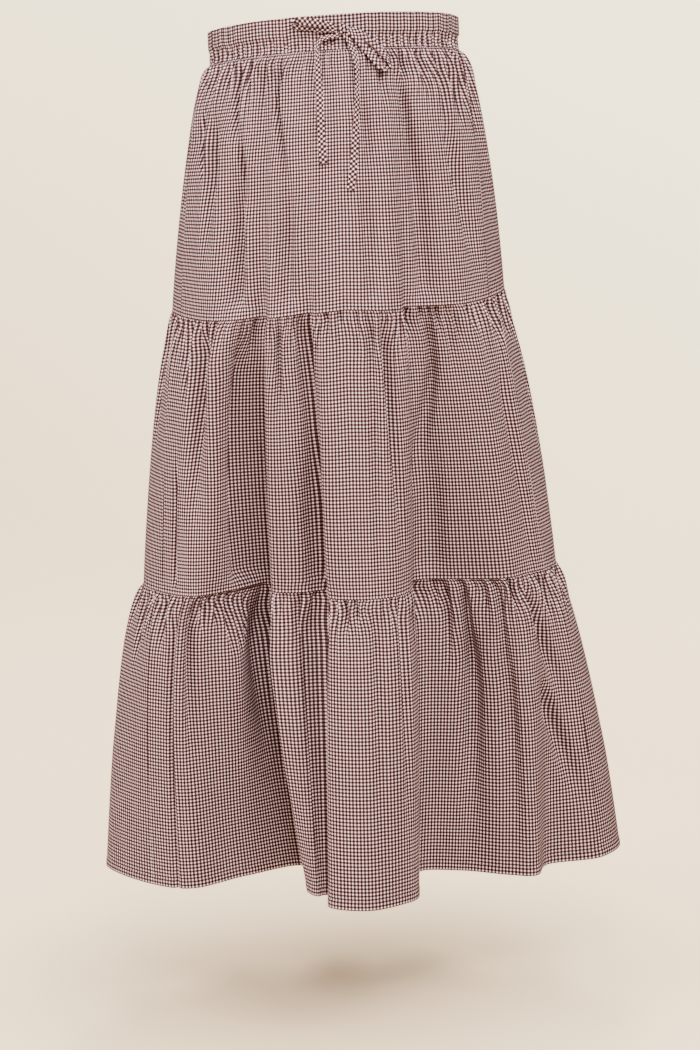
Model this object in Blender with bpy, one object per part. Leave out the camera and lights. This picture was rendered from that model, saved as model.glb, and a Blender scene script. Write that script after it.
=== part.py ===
"""Tiered ruffle skirt: an elastic waistband with a tied drawstring, and three gathered tiers.

Metres, +Z up. The origin is the centre of the waistband, where the wearer holds the skirt.
The front faces -Y and +X is on the right of someone looking at the front.

Each tier is a front and a back panel, joined at the side seams. A ring of cloth is a smooth
closed curve through the fold lines, and a panel is a wall through the rings of its tier.
"""

import math

import bmesh
import bpy
import numpy as np

# ---------------------------------------------------------------- driving sizes
WALL = 0.0016            # tier cloth and its crinkle, measured level: 1.1 mm through where it slopes
BAND_WALL = 0.0026       # doubled cloth over the elastic
SEAM_GAP = 0.0003        # between two pieces that are sewn together

BAND_HEIGHT = 0.038
BAND_HALF_WIDTH = 0.142
BAND_HALF_DEPTH = 0.114
BAND_WAVES = 26          # on the front, and again on the back
BAND_WAVE_DEPTH = 0.0016

# Rings of the band, top edge first: height over its lower edge, and its share of a wave's depth.
# The middle one is the row of sewing under the elastic.
BAND_COLUMNS = ("rise", "wave")
BAND_RINGS = [dict(zip(BAND_COLUMNS, row)) for row in (
    (BAND_HEIGHT,  0.35),
    (0.016,        1.00),
    (SEAM_GAP / 2, 0.50),
)]

# Each tier: its lower edge's half width, half depth and middle (across from the band's middle),
# how fast its outline swells under its upper edge, and its gathers on the front and on the back.
TIER_COLUMNS = ("name", "half_width", "half_depth", "middle", "swell", "front_gathers", "back_gathers")
TIERS = [dict(zip(TIER_COLUMNS, row)) for row in (
    ("tier_1", 0.1915, 0.150, -0.0065, 0.45, 18, 20),
    ("tier_2", 0.2410, 0.175, -0.0055, 0.58, 20, 24),
    ("tier_3", 0.3040, 0.215, -0.0035, 0.53, 24, 28),
)]

# How the waist seam, the two tier seams and the hem hang off the level, in metres for each metre
# ahead (sag, and side_sag for each metre ahead and across) and for each metre across (tilt).
HANG_COLUMNS = ("name", "height", "sag", "side_sag", "tilt")
HANG = [dict(zip(HANG_COLUMNS, row)) for row in (
    ("waist seam", -0.0190, -0.020, 0.00, 0.025),
    ("seam_1",     -0.2870,  0.052, 0.45, 0.028),
    ("seam_2",     -0.6030,  0.030, 0.00, 0.008),
    ("hem",        -0.9380,  0.000, 0.00, 0.000),
)]

# Gathers spring from a tier's upper seam, and every two of them run into one fold. Each kind has
# its valley's depth, the share of it that is there in the seam itself, how far down it is full and
# has nearly gone, how sharply it fades, how narrow its valley is, and the range of uneven depths.
VALLEY_COLUMNS = ("depth", "start", "rise", "fade", "sharp", "narrow", "range")
GATHER = dict(zip(VALLEY_COLUMNS, (0.0070, 0.12, 0.012, 0.075, 1.4, 1.2, (0.45, 1.3))))
FOLD = dict(zip(VALLEY_COLUMNS, (0.0090, 0.00, 0.040, 0.190, 2.0, 1.5, (0.30, 1.4))))
FADE_RANGE = (0.6, 1.5)          # uneven lengths, as shares of the fade
SWING = 0.16                     # how unevenly gathers are spaced, as a share of their pitch
SWING_WAVES = (2, 3, 5, 7)       # how many times round a panel their spacing swings
COLUMNS_PER_GATHER = 4           # crest, side, valley, side
DEPTH_SEED = 100                 # added to a panel's seed for the draw of its depths

# Where the fold lines cross the two seams and the hem, as shares of the half width (across,
# + on the right) and of the half depth (ahead, + at the front). One row for each fold line,
# from the left side seam round the front, the right side and the back.
FOLD_COLUMNS = ("name", "across_1", "ahead_1", "across_2", "ahead_2", "across_3", "ahead_3")
FOLD_LINES = [dict(zip(FOLD_COLUMNS, row)) for row in (
    ("left side seam",          -0.930,  0.300, -0.880,  0.440, -0.790,  0.480),
    ("left panel, crest",       -0.730,  0.700, -0.720,  0.640, -0.640,  0.590),
    ("left panel, inner side",  -0.560,  0.800, -0.560,  0.500, -0.450,  0.400),
    ("left valley",             -0.430,  0.770, -0.385,  0.270, -0.235,  0.240),
    ("inner layer, left edge",  -0.390,  0.925, -0.355,  0.620, -0.205,  0.740),
    ("inner layer",             -0.270,  0.950, -0.230,  0.690, -0.170,  0.830),
    ("inner layer, right end",  -0.170,  0.920, -0.115,  0.640, -0.135,  0.820),
    ("front fold, left edge",   -0.125,  1.020, -0.095,  0.930, -0.123,  1.030),
    ("front fold, crest",        0.060,  1.060,  0.040,  1.020,  0.015,  1.110),
    ("front fold, right face",   0.250,  1.070,  0.190,  0.985,  0.140,  1.015),
    ("front fold, right edge",   0.350,  0.990,  0.270,  0.810,  0.190,  0.930),
    ("right valley",             0.385,  0.840,  0.310,  0.440,  0.212,  0.440),
    ("right panel, flat",        0.530,  0.800,  0.500,  0.470,  0.370,  0.460),
    ("right panel, crest",       0.700,  0.730,  0.730,  0.520,  0.630,  0.610),
    ("right panel, outer side",  0.790,  0.600,  0.835,  0.370,  0.690,  0.410),
    ("right side seam",          0.880,  0.430,  0.920,  0.250,  0.900,  0.310),
    ("right side, crest",        0.995,  0.000,  0.995, -0.020,  0.995,  0.000),
    ("right back, valley",       0.870, -0.380,  0.830, -0.390,  0.790, -0.390),
    ("right back, crest",        0.760, -0.680,  0.770, -0.720,  0.740, -0.750),
    ("back, right valley",       0.500, -0.800,  0.480, -0.740,  0.430, -0.690),
    ("back, right fold, edge",   0.440, -0.900,  0.430, -0.930,  0.380, -0.940),
    ("back, right fold",         0.240, -1.000,  0.250, -1.060,  0.220, -1.080),
    ("back, middle valley",      0.080, -0.940,  0.090, -0.850,  0.090, -0.800),
    ("back, middle fold",       -0.060, -0.990, -0.060, -1.030, -0.050, -1.050),
    ("back, left valley",       -0.280, -0.910, -0.250, -0.820, -0.220, -0.770),
    ("back, left fold",         -0.420, -0.940, -0.420, -0.980, -0.390, -1.010),
    ("back, left fold, edge",   -0.580, -0.800, -0.570, -0.830, -0.530, -0.860),
    ("left back, valley",       -0.700, -0.620, -0.670, -0.600, -0.620, -0.570),
    ("left back, crest",        -0.870, -0.490, -0.860, -0.540, -0.830, -0.560),
    ("left back, hollow",       -0.930, -0.220, -0.900, -0.210, -0.880, -0.200),
    ("left side, crest",        -0.995,  0.000, -0.995,  0.060, -0.995,  0.040),
)]
LEFT_SEAM = [row["name"] for row in FOLD_LINES].index("left side seam")
RIGHT_SEAM = [row["name"] for row in FOLD_LINES].index("right side seam")
SPAN_STEPS = 40          # curve points between two fold lines
TOP, MIDDLE = 0.0, 0.5   # shares of the way down a tier

# Depth down the cloth of each ring of a tier, as a share of the tier.
RING_SHARES = (0.0, 0.045, 0.15, 0.32, 0.60, 1.0)

# ---------------------------------------------------------------- drawstring
TIE_DIAMETER = 0.0046    # the round tube that holds as much as the flat 8 mm tie
TIE_STEP = 0.0075        # between points along a tie
KNOT_AT = (0.0100, 0.0050)               # across, height
KNOT_SIZE = (0.0140, 0.0086, 0.0115)     # across, off the cloth, up

# Each tie's route away from the knot: across, height, and its middle's lift off the cloth.
TIE_ROUTES = {
    "bow_left_loop": (
        (0.0037, 0.0076, 0.0050), (-0.0095, 0.0118, 0.0075), (-0.0235, 0.0152, 0.0085),
        (-0.0370, 0.0168, 0.0078), (-0.0450, 0.0120, 0.0060), (-0.0380, 0.0070, 0.0040),
        (-0.0245, 0.0052, 0.0033), (-0.0105, 0.0036, 0.0034), (0.0028, 0.0033, 0.0043),
    ),
    "bow_right_loop": (
        (0.0166, 0.0021, 0.0054), (0.0255, -0.0070, 0.0070), (0.0345, -0.0195, 0.0072),
        (0.0433, -0.0324, 0.0066), (0.0516, -0.0405, 0.0052), (0.0580, -0.0375, 0.0042),
        (0.0583, -0.0280, 0.0038), (0.0515, -0.0175, 0.0052), (0.0395, -0.0080, 0.0042),
        (0.0275, 0.0010, 0.0036), (0.0181, 0.0067, 0.0042),
    ),
    "bow_left_tail": (
        (0.0056, -0.0017, 0.0041), (-0.0065, -0.0034, 0.0044), (-0.0150, -0.0065, 0.0038),
        (-0.0182, -0.0165, 0.0046), (-0.0183, -0.0290, 0.0032), (-0.0182, -0.0513, 0.0029),
        (-0.0181, -0.0748, 0.0029), (-0.0173, -0.1143, 0.0029), (-0.0158, -0.1389, 0.0029),
    ),
    "bow_right_tail": (
        (0.0121, -0.0009, 0.0042), (0.0180, -0.0115, 0.0046), (0.0221, -0.0255, 0.0040),
        (0.0239, -0.0444, 0.0029), (0.0221, -0.0765, 0.0029), (0.0194, -0.1041, 0.0029),
        (0.0159, -0.1423, 0.0029), (0.0120, -0.1677, 0.0029),
    ),
}

CLOTH_RGB = (0.42, 0.30, 0.28)
CLOTH_ROUGHNESS = 0.88
TIER_TINTS = (0.96, 0.92, 0.88)
BAND_TINT = 1.05
TIE_TINT = 1.10


# ---------------------------------------------------------------- rings of cloth
def closed_curve(points):
    """A smooth closed curve through the points, SPAN_STEPS points from each one to the next."""
    before, here = np.roll(points, 1, axis=0), points
    after, beyond = np.roll(points, -1, axis=0), np.roll(points, -2, axis=0)

    def knot_step(a, b):
        return np.sqrt(np.linalg.norm(b - a, axis=1))[:, None]

    lead, span, trail = knot_step(before, here), knot_step(here, after), knot_step(after, beyond)
    leave = (here - before) / lead - (after - before) / (lead + span) + (after - here) / span
    reach = (after - here) / span - (beyond - here) / (span + trail) + (beyond - after) / trail
    leave, reach = leave * span, reach * span
    u = (np.arange(SPAN_STEPS) / SPAN_STEPS)[None, :, None]
    here, after, leave, reach = (a[:, None, :] for a in (here, after, leave, reach))
    curve = (here * (2 * u**3 - 3 * u**2 + 1) + leave * (u**3 - 2 * u**2 + u)
             + after * (3 * u**2 - 2 * u**3) + reach * (u**3 - u**2))
    return curve.reshape(-1, 2)


def fold_shares(level):
    """Where the fold lines cross a seam (1 or 2), the hem (3) or the waist (0), as shares."""
    if level == 0:
        shares = fold_shares(1)
        return shares / np.linalg.norm(shares, axis=1)[:, None]
    return np.array([[row[f"across_{level}"], -row[f"ahead_{level}"]] for row in FOLD_LINES])


def half_sizes(level):
    if level == 0:
        return np.array([BAND_HALF_WIDTH, BAND_HALF_DEPTH])
    return np.array([TIERS[level - 1]["half_width"], TIERS[level - 1]["half_depth"]])


def middle_across(level):
    return TIERS[level - 1]["middle"] if level else 0.0


def tier_curve(number, share):
    """The plan curve of a tier, a share of the way down it: its outline swells out quickly."""
    swell = share ** TIERS[number - 1]["swell"]
    sizes = half_sizes(number - 1) + (half_sizes(number) - half_sizes(number - 1)) * swell
    shares = fold_shares(number - 1) + (fold_shares(number) - fold_shares(number - 1)) * share
    middle = middle_across(number - 1) + (middle_across(number) - middle_across(number - 1)) * share
    return closed_curve(shares * sizes + np.array([middle, 0.0]))


def outward(curve):
    """The level outward direction at each point of a closed curve that runs anticlockwise."""
    along = np.roll(curve, -1, axis=0) - np.roll(curve, 1, axis=0)
    away = np.stack([along[:, 1], -along[:, 0]], axis=1)
    return away / np.linalg.norm(away, axis=1)[:, None]


def length_along(line):
    return np.concatenate([[0.0], np.cumsum(np.linalg.norm(np.diff(line, axis=0), axis=1))])


def gather_phase(place, count, seed):
    """Which gather a place on a panel is in, counted from 0 to count: unevenly spaced."""
    rng = np.random.RandomState(seed)
    phase = count * place
    for wave in SWING_WAVES:
        start = rng.uniform(0, 2 * math.pi)
        swing = SWING * count / (2 * math.pi * wave)
        phase = phase + swing * (np.sin(2 * math.pi * wave * place + start) - math.sin(start))
    return phase


def valley(kind, turns, down, depth, fade):
    """How far the cloth lies in from its crests for one kind of valley, `turns` valleys along."""
    rise = np.minimum(1.0, kind["start"] + down / kind["rise"])
    fall = np.exp(-(down / (kind["fade"] * fade)) ** kind["sharp"])
    wave = (0.5 - 0.5 * np.cos(2 * math.pi * turns)) ** kind["narrow"]
    return kind["depth"] * depth * rise * fall * wave


def pucker(phase, down, count, seed):
    """How far the cloth lies in from its crests, by gathers and by the folds they run into."""
    rng = np.random.RandomState(seed)
    knots = np.arange(count + 1)
    depth = np.interp(phase, knots, rng.uniform(*GATHER["range"], count + 1))
    fade = np.interp(phase, knots, rng.uniform(*FADE_RANGE, count + 1))
    fold = np.interp(phase, knots, rng.uniform(*FOLD["range"], count + 1))
    return valley(GATHER, phase, down, depth, fade) + valley(FOLD, phase / 2, down, fold, fade)


def panel_points(curve, is_front):
    """The stretch of a closed curve from one side seam to the other, both ends included."""
    left, right = LEFT_SEAM * SPAN_STEPS, RIGHT_SEAM * SPAN_STEPS
    first, last = (left, right) if is_front else (right, left + len(FOLD_LINES) * SPAN_STEPS)
    return curve[np.arange(first, last + 1) % len(curve)]


def panel_places(number, is_front):
    """How far along its panel each curve point is, from 0 to 1, measured half way down a tier."""
    run = length_along(panel_points(tier_curve(number, MIDDLE), is_front))
    return run / run[-1]


def panel_ring(curve, is_front, dips, places, columns):
    """Points of one ring of a panel, and the level direction out of the cloth at each one."""
    line = panel_points(curve, is_front)
    away = panel_points(outward(curve), is_front)
    line = line - away * dips[:, None]
    along = np.gradient(line, axis=0)
    normal = np.stack([along[:, 1], -along[:, 0]], axis=1)
    normal[[0, -1]] = away[[0, -1]]
    plan = np.stack([np.interp(columns, places, values) for values in line.T], axis=1)
    normal = np.stack([np.interp(columns, places, values) for values in normal.T], axis=1)
    normal /= np.linalg.norm(normal, axis=1)[:, None]
    end_along = np.stack([-normal[:, 1], normal[:, 0]], axis=1)
    plan[0] += end_along[0] * SEAM_GAP / 2
    plan[-1] -= end_along[-1] * SEAM_GAP / 2
    return plan, normal


def gather_columns(count, seed):
    """The places on a panel at which its gathers crest, turn and dip."""
    place = np.linspace(0, 1, 100 * count + 1)
    turns = np.arange(COLUMNS_PER_GATHER * count + 1) / COLUMNS_PER_GATHER
    return np.interp(turns, gather_phase(place, count, seed), place)


def seam_height(level, plan):
    """Height of a seam or the hem at each point of a ring in plan."""
    hang = HANG[level]
    across, ahead = plan[:, 0], np.maximum(0.0, -plan[:, 1])
    drop = ahead * (hang["sag"] + hang["side_sag"] * np.abs(across))
    return hang["height"] - drop + hang["tilt"] * across


# ---------------------------------------------------------------- solids
def cloth_material(name, tint):
    material = bpy.data.materials.new(name)
    material.use_nodes = True
    shader = material.node_tree.nodes["Principled BSDF"]
    shader.inputs["Base Color"].default_value = (*(c * tint for c in CLOTH_RGB), 1.0)
    shader.inputs["Roughness"].default_value = CLOTH_ROUGHNESS
    shader.inputs["Metallic"].default_value = 0.0
    return material


def add_object(name, data, tint):
    data.materials.append(cloth_material(f"{name}_cloth", tint))
    piece = bpy.data.objects.new(name, data)
    bpy.context.collection.objects.link(piece)
    return piece


def wall_object(name, outer, inner, tint):
    """A closed wall between two grids of points, each indexed by ring (down) and column."""
    rings, columns = outer.shape[:2]
    points = np.concatenate([outer.reshape(-1, 3), inner.reshape(-1, 3)])
    back = rings * columns

    def at(ring, column):
        return ring * columns + column

    faces = []
    for r in range(rings - 1):
        for c in range(columns - 1):
            a, b, d, e = at(r, c), at(r, c + 1), at(r + 1, c + 1), at(r + 1, c)
            faces += [(a, e, d), (a, d, b), (back + a, back + d, back + e), (back + a, back + b, back + d)]
    last_ring, last_column = rings - 1, columns - 1
    rim = [at(0, c) for c in range(columns)]
    rim += [at(r, last_column) for r in range(1, rings)]
    rim += [at(last_ring, c) for c in range(last_column - 1, -1, -1)]
    rim += [at(r, 0) for r in range(last_ring - 1, 0, -1)]
    for a, b in zip(rim, rim[1:] + rim[:1]):
        faces += [(a, b, back + b), (a, back + b, back + a)]
    mesh = bpy.data.meshes.new(name)
    mesh.from_pydata(points.tolist(), [], faces)
    mesh.validate()
    mesh.shade_smooth()
    return add_object(name, mesh, tint)


def tier_panel(number, is_front):
    """One panel of a tier: rings from its upper seam down to its lower seam or hem."""
    tier = TIERS[number - 1]
    count = tier["front_gathers"] if is_front else tier["back_gathers"]
    seed = 10 * number + is_front
    places = panel_places(number, is_front)
    phase = gather_phase(places, count, seed)
    columns = gather_columns(count, seed)
    drop = HANG[number - 1]["height"] - HANG[number]["height"]
    outer, inner = [], []
    for share in RING_SHARES:
        dips = (1 - share**3) * pucker(phase, share * drop, count, seed + DEPTH_SEED)
        plan, normal = panel_ring(tier_curve(number, share), is_front, dips, places, columns)
        top, bottom = seam_height(number - 1, plan), seam_height(number, plan)
        height = top - SEAM_GAP / 2 - share * (top - bottom - SEAM_GAP)
        outer.append(np.column_stack([plan, height]))
        inner.append(np.column_stack([plan - WALL * normal, height]))
    side = "front" if is_front else "back"
    return wall_object(f"{tier['name']}_{side}", np.array(outer), np.array(inner), TIER_TINTS[number - 1])


def band_panel(is_front):
    """The waistband's front or back: a casing over the elastic and a crinkled strip under it."""
    columns = np.linspace(0, 1, 2 * BAND_WAVES + 1)
    places = panel_places(1, is_front)
    plan, normal = panel_ring(tier_curve(1, TOP), is_front, 0 * places, places, columns)
    is_valley = np.arange(len(plan)) % 2
    outer, inner = [], []
    for ring in BAND_RINGS:
        dips = BAND_WAVE_DEPTH * ring["wave"] * is_valley
        height = seam_height(0, plan) + ring["rise"]
        outer.append(np.column_stack([plan - dips[:, None] * normal, height]))
        inner.append(np.column_stack([plan - BAND_WALL * normal, height]))
    name = "waistband_front" if is_front else "waistband_back"
    return wall_object(name, np.array(outer), np.array(inner), BAND_TINT)


def front_face(across, height):
    """Where the plain outer face of the band and of tier 1 is, at a place on the front."""
    share = np.clip((HANG[0]["height"] - height) / (HANG[0]["height"] - HANG[1]["height"]), 0, 1)
    line = panel_points(tier_curve(1, share), True)
    return np.interp(across, line[:, 0], line[:, 1])


def tie_path(route):
    """Evenly spaced points along the smooth curve through a tie's route, off the cloth."""
    points = np.array([(x, front_face(x, z) - lift, z) for x, z, lift in route])
    ends = np.vstack([2 * points[0] - points[1], points, 2 * points[-1] - points[-2]])
    u = np.linspace(0, 1, SPAN_STEPS, endpoint=False)[:, None]
    smooth = []
    for a, b, c, d in zip(ends, ends[1:], ends[2:], ends[3:]):
        smooth.append(b + (c - a) * u / 2 + (2 * a - 5 * b + 4 * c - d) * u**2 / 2
                      + (3 * b - a - 3 * c + d) * u**3 / 2)
    smooth = np.vstack([*smooth, points[-1:]])
    run = length_along(smooth)
    steps = np.linspace(0, run[-1], round(run[-1] / TIE_STEP) + 1)
    return np.stack([np.interp(steps, run, values) for values in smooth.T], axis=1)


def tie(name, route):
    path = tie_path(route)
    curve = bpy.data.curves.new(name, "CURVE")
    curve.dimensions = "3D"
    curve.bevel_depth = TIE_DIAMETER / 2
    curve.bevel_resolution = 2
    curve.use_fill_caps = True
    spline = curve.splines.new("POLY")
    spline.points.add(len(path) - 1)
    for point, place in zip(spline.points, path):
        point.co = (*place, 1.0)
    return add_object(name, curve, TIE_TINT)


def bow_knot():
    """The knot: a rounded lump that the loops and tails come out of."""
    across, height = KNOT_AT
    shape = bmesh.new()
    bmesh.ops.create_icosphere(shape, subdivisions=2, radius=0.5)
    bmesh.ops.scale(shape, vec=KNOT_SIZE, verts=shape.verts)
    ahead = front_face(across, height) - SEAM_GAP - KNOT_SIZE[1] / 2
    bmesh.ops.translate(shape, vec=(across, ahead, height), verts=shape.verts)
    mesh = bpy.data.meshes.new("bow_knot")
    shape.to_mesh(mesh)
    shape.free()
    mesh.shade_smooth()
    return add_object("bow_knot", mesh, TIE_TINT)


def main():
    for old in list(bpy.data.objects):
        bpy.data.objects.remove(old, do_unlink=True)
    for is_front in (True, False):
        band_panel(is_front)
        for number in (1, 2, 3):
            tier_panel(number, is_front)
    bow_knot()
    for name, route in TIE_ROUTES.items():
        tie(name, route)


main()
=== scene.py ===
import math

import bmesh
import bpy
import numpy as np
from mathutils import Matrix, Vector


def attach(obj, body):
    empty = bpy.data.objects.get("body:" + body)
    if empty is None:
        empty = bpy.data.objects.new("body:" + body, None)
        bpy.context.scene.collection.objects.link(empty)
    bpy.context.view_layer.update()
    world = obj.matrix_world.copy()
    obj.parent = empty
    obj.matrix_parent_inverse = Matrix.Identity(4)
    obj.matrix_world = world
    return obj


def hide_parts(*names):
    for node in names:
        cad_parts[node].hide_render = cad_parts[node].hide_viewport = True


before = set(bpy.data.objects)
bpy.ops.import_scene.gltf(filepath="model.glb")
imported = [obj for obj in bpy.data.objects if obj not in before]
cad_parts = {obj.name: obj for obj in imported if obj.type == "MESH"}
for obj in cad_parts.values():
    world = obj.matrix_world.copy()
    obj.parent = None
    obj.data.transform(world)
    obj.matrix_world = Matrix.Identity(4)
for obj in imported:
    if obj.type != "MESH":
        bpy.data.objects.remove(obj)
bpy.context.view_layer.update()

# A tiered ruffle skirt in a fine cotton check: an elastic waistband with a tied drawstring, and
# three gathered tiers. Metres, +Z up. The origin is the centre of the waistband, and the front
# faces -Y. Every piece of cloth is a sheet on the form of its solid, with its own gathers and
# creases, and its UV map is the cloth laid flat, in metres, so that the check keeps its size.

# ---------------------------------------------------------------- camera
CAMERA_AT = (-0.0035, -2.600, -0.210)
CAMERA_TILT = math.radians(7.43)     # down from the level
CAMERA_ROLL = math.radians(-2.3)
CAMERA_SENSOR = 36.0
CAMERA_LENS = 77.52


def place_camera():
    data = bpy.data.cameras.new("camera")
    data.sensor_fit = "VERTICAL"
    data.sensor_height = CAMERA_SENSOR
    data.lens = CAMERA_LENS
    camera = bpy.data.objects.new("camera", data)
    turn = Matrix.Rotation(math.pi / 2 - CAMERA_TILT, 4, "X") @ Matrix.Rotation(CAMERA_ROLL, 4, "Z")
    camera.matrix_world = Matrix.Translation(CAMERA_AT) @ turn
    bpy.context.scene.collection.objects.link(camera)
    bpy.context.scene.camera = camera


# ---------------------------------------------------------------- sizes shared with the solids
SEAM_GAP = 0.0003        # between two pieces at a seam
BAND_HEIGHT = 0.038
BAND_STITCH = 0.016      # up the band to the row of sewing under the elastic
BAND_HALF_WIDTH = 0.142
BAND_HALF_DEPTH = 0.114

# The lower edge of each tier, how its outline swells on the way down to it (the power of the share
# of the way), and how many gathers each of its panels has.
TIER_COLUMNS = ("name", "half_width", "half_depth", "middle", "swell", "front_gathers", "back_gathers")
TIERS = [dict(zip(TIER_COLUMNS, row)) for row in (
    ("tier_1", 0.1915, 0.150, -0.0065, 0.45, 18, 20),
    ("tier_2", 0.2410, 0.175, -0.0055, 0.58, 20, 24),
    ("tier_3", 0.3040, 0.215, -0.0035, 0.53, 24, 28),
)]

# How the waist seam, the two tier seams and the hem hang: their height at the sides and behind,
# their sag for each metre ahead, how that grows for each metre to a side, and their rise for each
# metre to the right.
HANG_COLUMNS = ("name", "height", "sag", "side_sag", "tilt")
HANG = [dict(zip(HANG_COLUMNS, row)) for row in (
    ("waist seam", -0.0190, -0.020, 0.00, 0.025),
    ("seam_1",     -0.2870,  0.052, 0.45, 0.028),
    ("seam_2",     -0.6030,  0.030, 0.00, 0.008),
    ("hem",        -0.9380,  0.000, 0.00, 0.000),
)]

# Valleys that run down from a seam, as gathers and as the wider folds they run into: the depth, the
# share of it at the seam, how far down they are whole and fade out, how sharply they fade, how
# narrow they are, and the span of each one's own share of the depth.
VALLEY_COLUMNS = ("depth", "start", "rise", "fade", "sharp", "narrow", "range")
GATHER = dict(zip(VALLEY_COLUMNS, (0.0070, 0.12, 0.012, 0.075, 1.4, 1.2, (0.45, 1.3))))
FOLD = dict(zip(VALLEY_COLUMNS, (0.0090, 0.00, 0.040, 0.190, 2.0, 1.5, (0.30, 1.4))))
FADE_RANGE = (0.6, 1.5)      # of each valley's own share of the fade
SWING = 0.16                 # how unevenly the gathers are spaced, by slow waves along the panel
SWING_WAVES = (2, 3, 5, 7)
DEPTH_SEED = 100

# Where the lines of the large folds cross the seams under tiers 1 and 2 and the hem, anticlockwise
# seen from above: shares of the half width across and of the half depth ahead.
FOLD_COLUMNS = ("name", "across_1", "ahead_1", "across_2", "ahead_2", "across_3", "ahead_3")
FOLD_LINES = [dict(zip(FOLD_COLUMNS, row)) for row in (
    ("left side seam",          -0.930,  0.300, -0.880,  0.440, -0.790,  0.480),
    ("left panel, crest",       -0.730,  0.700, -0.720,  0.640, -0.640,  0.590),
    ("left panel, inner side",  -0.560,  0.800, -0.560,  0.500, -0.450,  0.400),
    ("left valley",             -0.430,  0.770, -0.385,  0.270, -0.235,  0.240),
    ("inner layer, left edge",  -0.390,  0.925, -0.355,  0.620, -0.205,  0.740),
    ("inner layer",             -0.270,  0.950, -0.230,  0.690, -0.170,  0.830),
    ("inner layer, right end",  -0.170,  0.920, -0.115,  0.640, -0.135,  0.820),
    ("front fold, left edge",   -0.125,  1.020, -0.095,  0.930, -0.123,  1.030),
    ("front fold, crest",        0.060,  1.060,  0.040,  1.020,  0.015,  1.110),
    ("front fold, right face",   0.250,  1.070,  0.190,  0.985,  0.140,  1.015),
    ("front fold, right edge",   0.350,  0.990,  0.270,  0.810,  0.190,  0.930),
    ("right valley",             0.385,  0.840,  0.310,  0.440,  0.212,  0.440),
    ("right panel, flat",        0.530,  0.800,  0.500,  0.470,  0.370,  0.460),
    ("right panel, crest",       0.700,  0.730,  0.730,  0.520,  0.630,  0.610),
    ("right panel, outer side",  0.790,  0.600,  0.835,  0.370,  0.690,  0.410),
    ("right side seam",          0.880,  0.430,  0.920,  0.250,  0.900,  0.310),
    ("right side, crest",        0.995,  0.000,  0.995, -0.020,  0.995,  0.000),
    ("right back, valley",       0.870, -0.380,  0.830, -0.390,  0.790, -0.390),
    ("right back, crest",        0.760, -0.680,  0.770, -0.720,  0.740, -0.750),
    ("back, right valley",       0.500, -0.800,  0.480, -0.740,  0.430, -0.690),
    ("back, right fold, edge",   0.440, -0.900,  0.430, -0.930,  0.380, -0.940),
    ("back, right fold",         0.240, -1.000,  0.250, -1.060,  0.220, -1.080),
    ("back, middle valley",      0.080, -0.940,  0.090, -0.850,  0.090, -0.800),
    ("back, middle fold",       -0.060, -0.990, -0.060, -1.030, -0.050, -1.050),
    ("back, left valley",       -0.280, -0.910, -0.250, -0.820, -0.220, -0.770),
    ("back, left fold",         -0.420, -0.940, -0.420, -0.980, -0.390, -1.010),
    ("back, left fold, edge",   -0.580, -0.800, -0.570, -0.830, -0.530, -0.860),
    ("left back, valley",       -0.700, -0.620, -0.670, -0.600, -0.620, -0.570),
    ("left back, crest",        -0.870, -0.490, -0.860, -0.540, -0.830, -0.560),
    ("left back, hollow",       -0.930, -0.220, -0.900, -0.210, -0.880, -0.200),
    ("left side, crest",        -0.995,  0.000, -0.995,  0.060, -0.995,  0.040),
)]
LEFT_SEAM = [row["name"] for row in FOLD_LINES].index("left side seam")
RIGHT_SEAM = [row["name"] for row in FOLD_LINES].index("right side seam")
SPAN_STEPS = 40          # points from one fold line to the next
TOP, MIDDLE, BOTTOM = 0.0, 0.5, 1.0      # shares of the way down a tier


# ---------------------------------------------------------------- rings of cloth
def closed_curve(points):
    """A smooth closed curve through the points, SPAN_STEPS points from each one to the next."""
    before, here = np.roll(points, 1, axis=0), points
    after, beyond = np.roll(points, -1, axis=0), np.roll(points, -2, axis=0)

    def knot_step(a, b):
        return np.sqrt(np.linalg.norm(b - a, axis=1))[:, None]

    lead, span, trail = knot_step(before, here), knot_step(here, after), knot_step(after, beyond)
    leave = (here - before) / lead - (after - before) / (lead + span) + (after - here) / span
    reach = (after - here) / span - (beyond - here) / (span + trail) + (beyond - after) / trail
    leave, reach = leave * span, reach * span
    u = (np.arange(SPAN_STEPS) / SPAN_STEPS)[None, :, None]
    here, after, leave, reach = (a[:, None, :] for a in (here, after, leave, reach))
    curve = (here * (2 * u**3 - 3 * u**2 + 1) + leave * (u**3 - 2 * u**2 + u)
             + after * (3 * u**2 - 2 * u**3) + reach * (u**3 - u**2))
    return curve.reshape(-1, 2)


def fold_shares(level):
    """Where the fold lines cross a seam (1 or 2), the hem (3) or the waist (0), as shares."""
    if level == 0:
        shares = fold_shares(1)
        return shares / np.linalg.norm(shares, axis=1)[:, None]
    return np.array([[row[f"across_{level}"], -row[f"ahead_{level}"]] for row in FOLD_LINES])


def half_sizes(level):
    if level == 0:
        return np.array([BAND_HALF_WIDTH, BAND_HALF_DEPTH])
    return np.array([TIERS[level - 1]["half_width"], TIERS[level - 1]["half_depth"]])


def middle_across(level):
    return TIERS[level - 1]["middle"] if level else 0.0


def between(measure, number, share):
    """A measure of the rings, a share of the way from a tier's upper edge to its lower one."""
    upper, lower = measure(number - 1), measure(number)
    return upper + (lower - upper) * share


def tier_curve(number, share):
    """The plan curve of a tier, a share of the way down it: its outline swells out quickly."""
    sizes = between(half_sizes, number, share ** TIERS[number - 1]["swell"])
    middle = between(middle_across, number, share)
    return closed_curve(between(fold_shares, number, share) * sizes + np.array([middle, 0.0]))


def units(vectors):
    return vectors / np.linalg.norm(vectors, axis=-1)[..., None]


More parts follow.
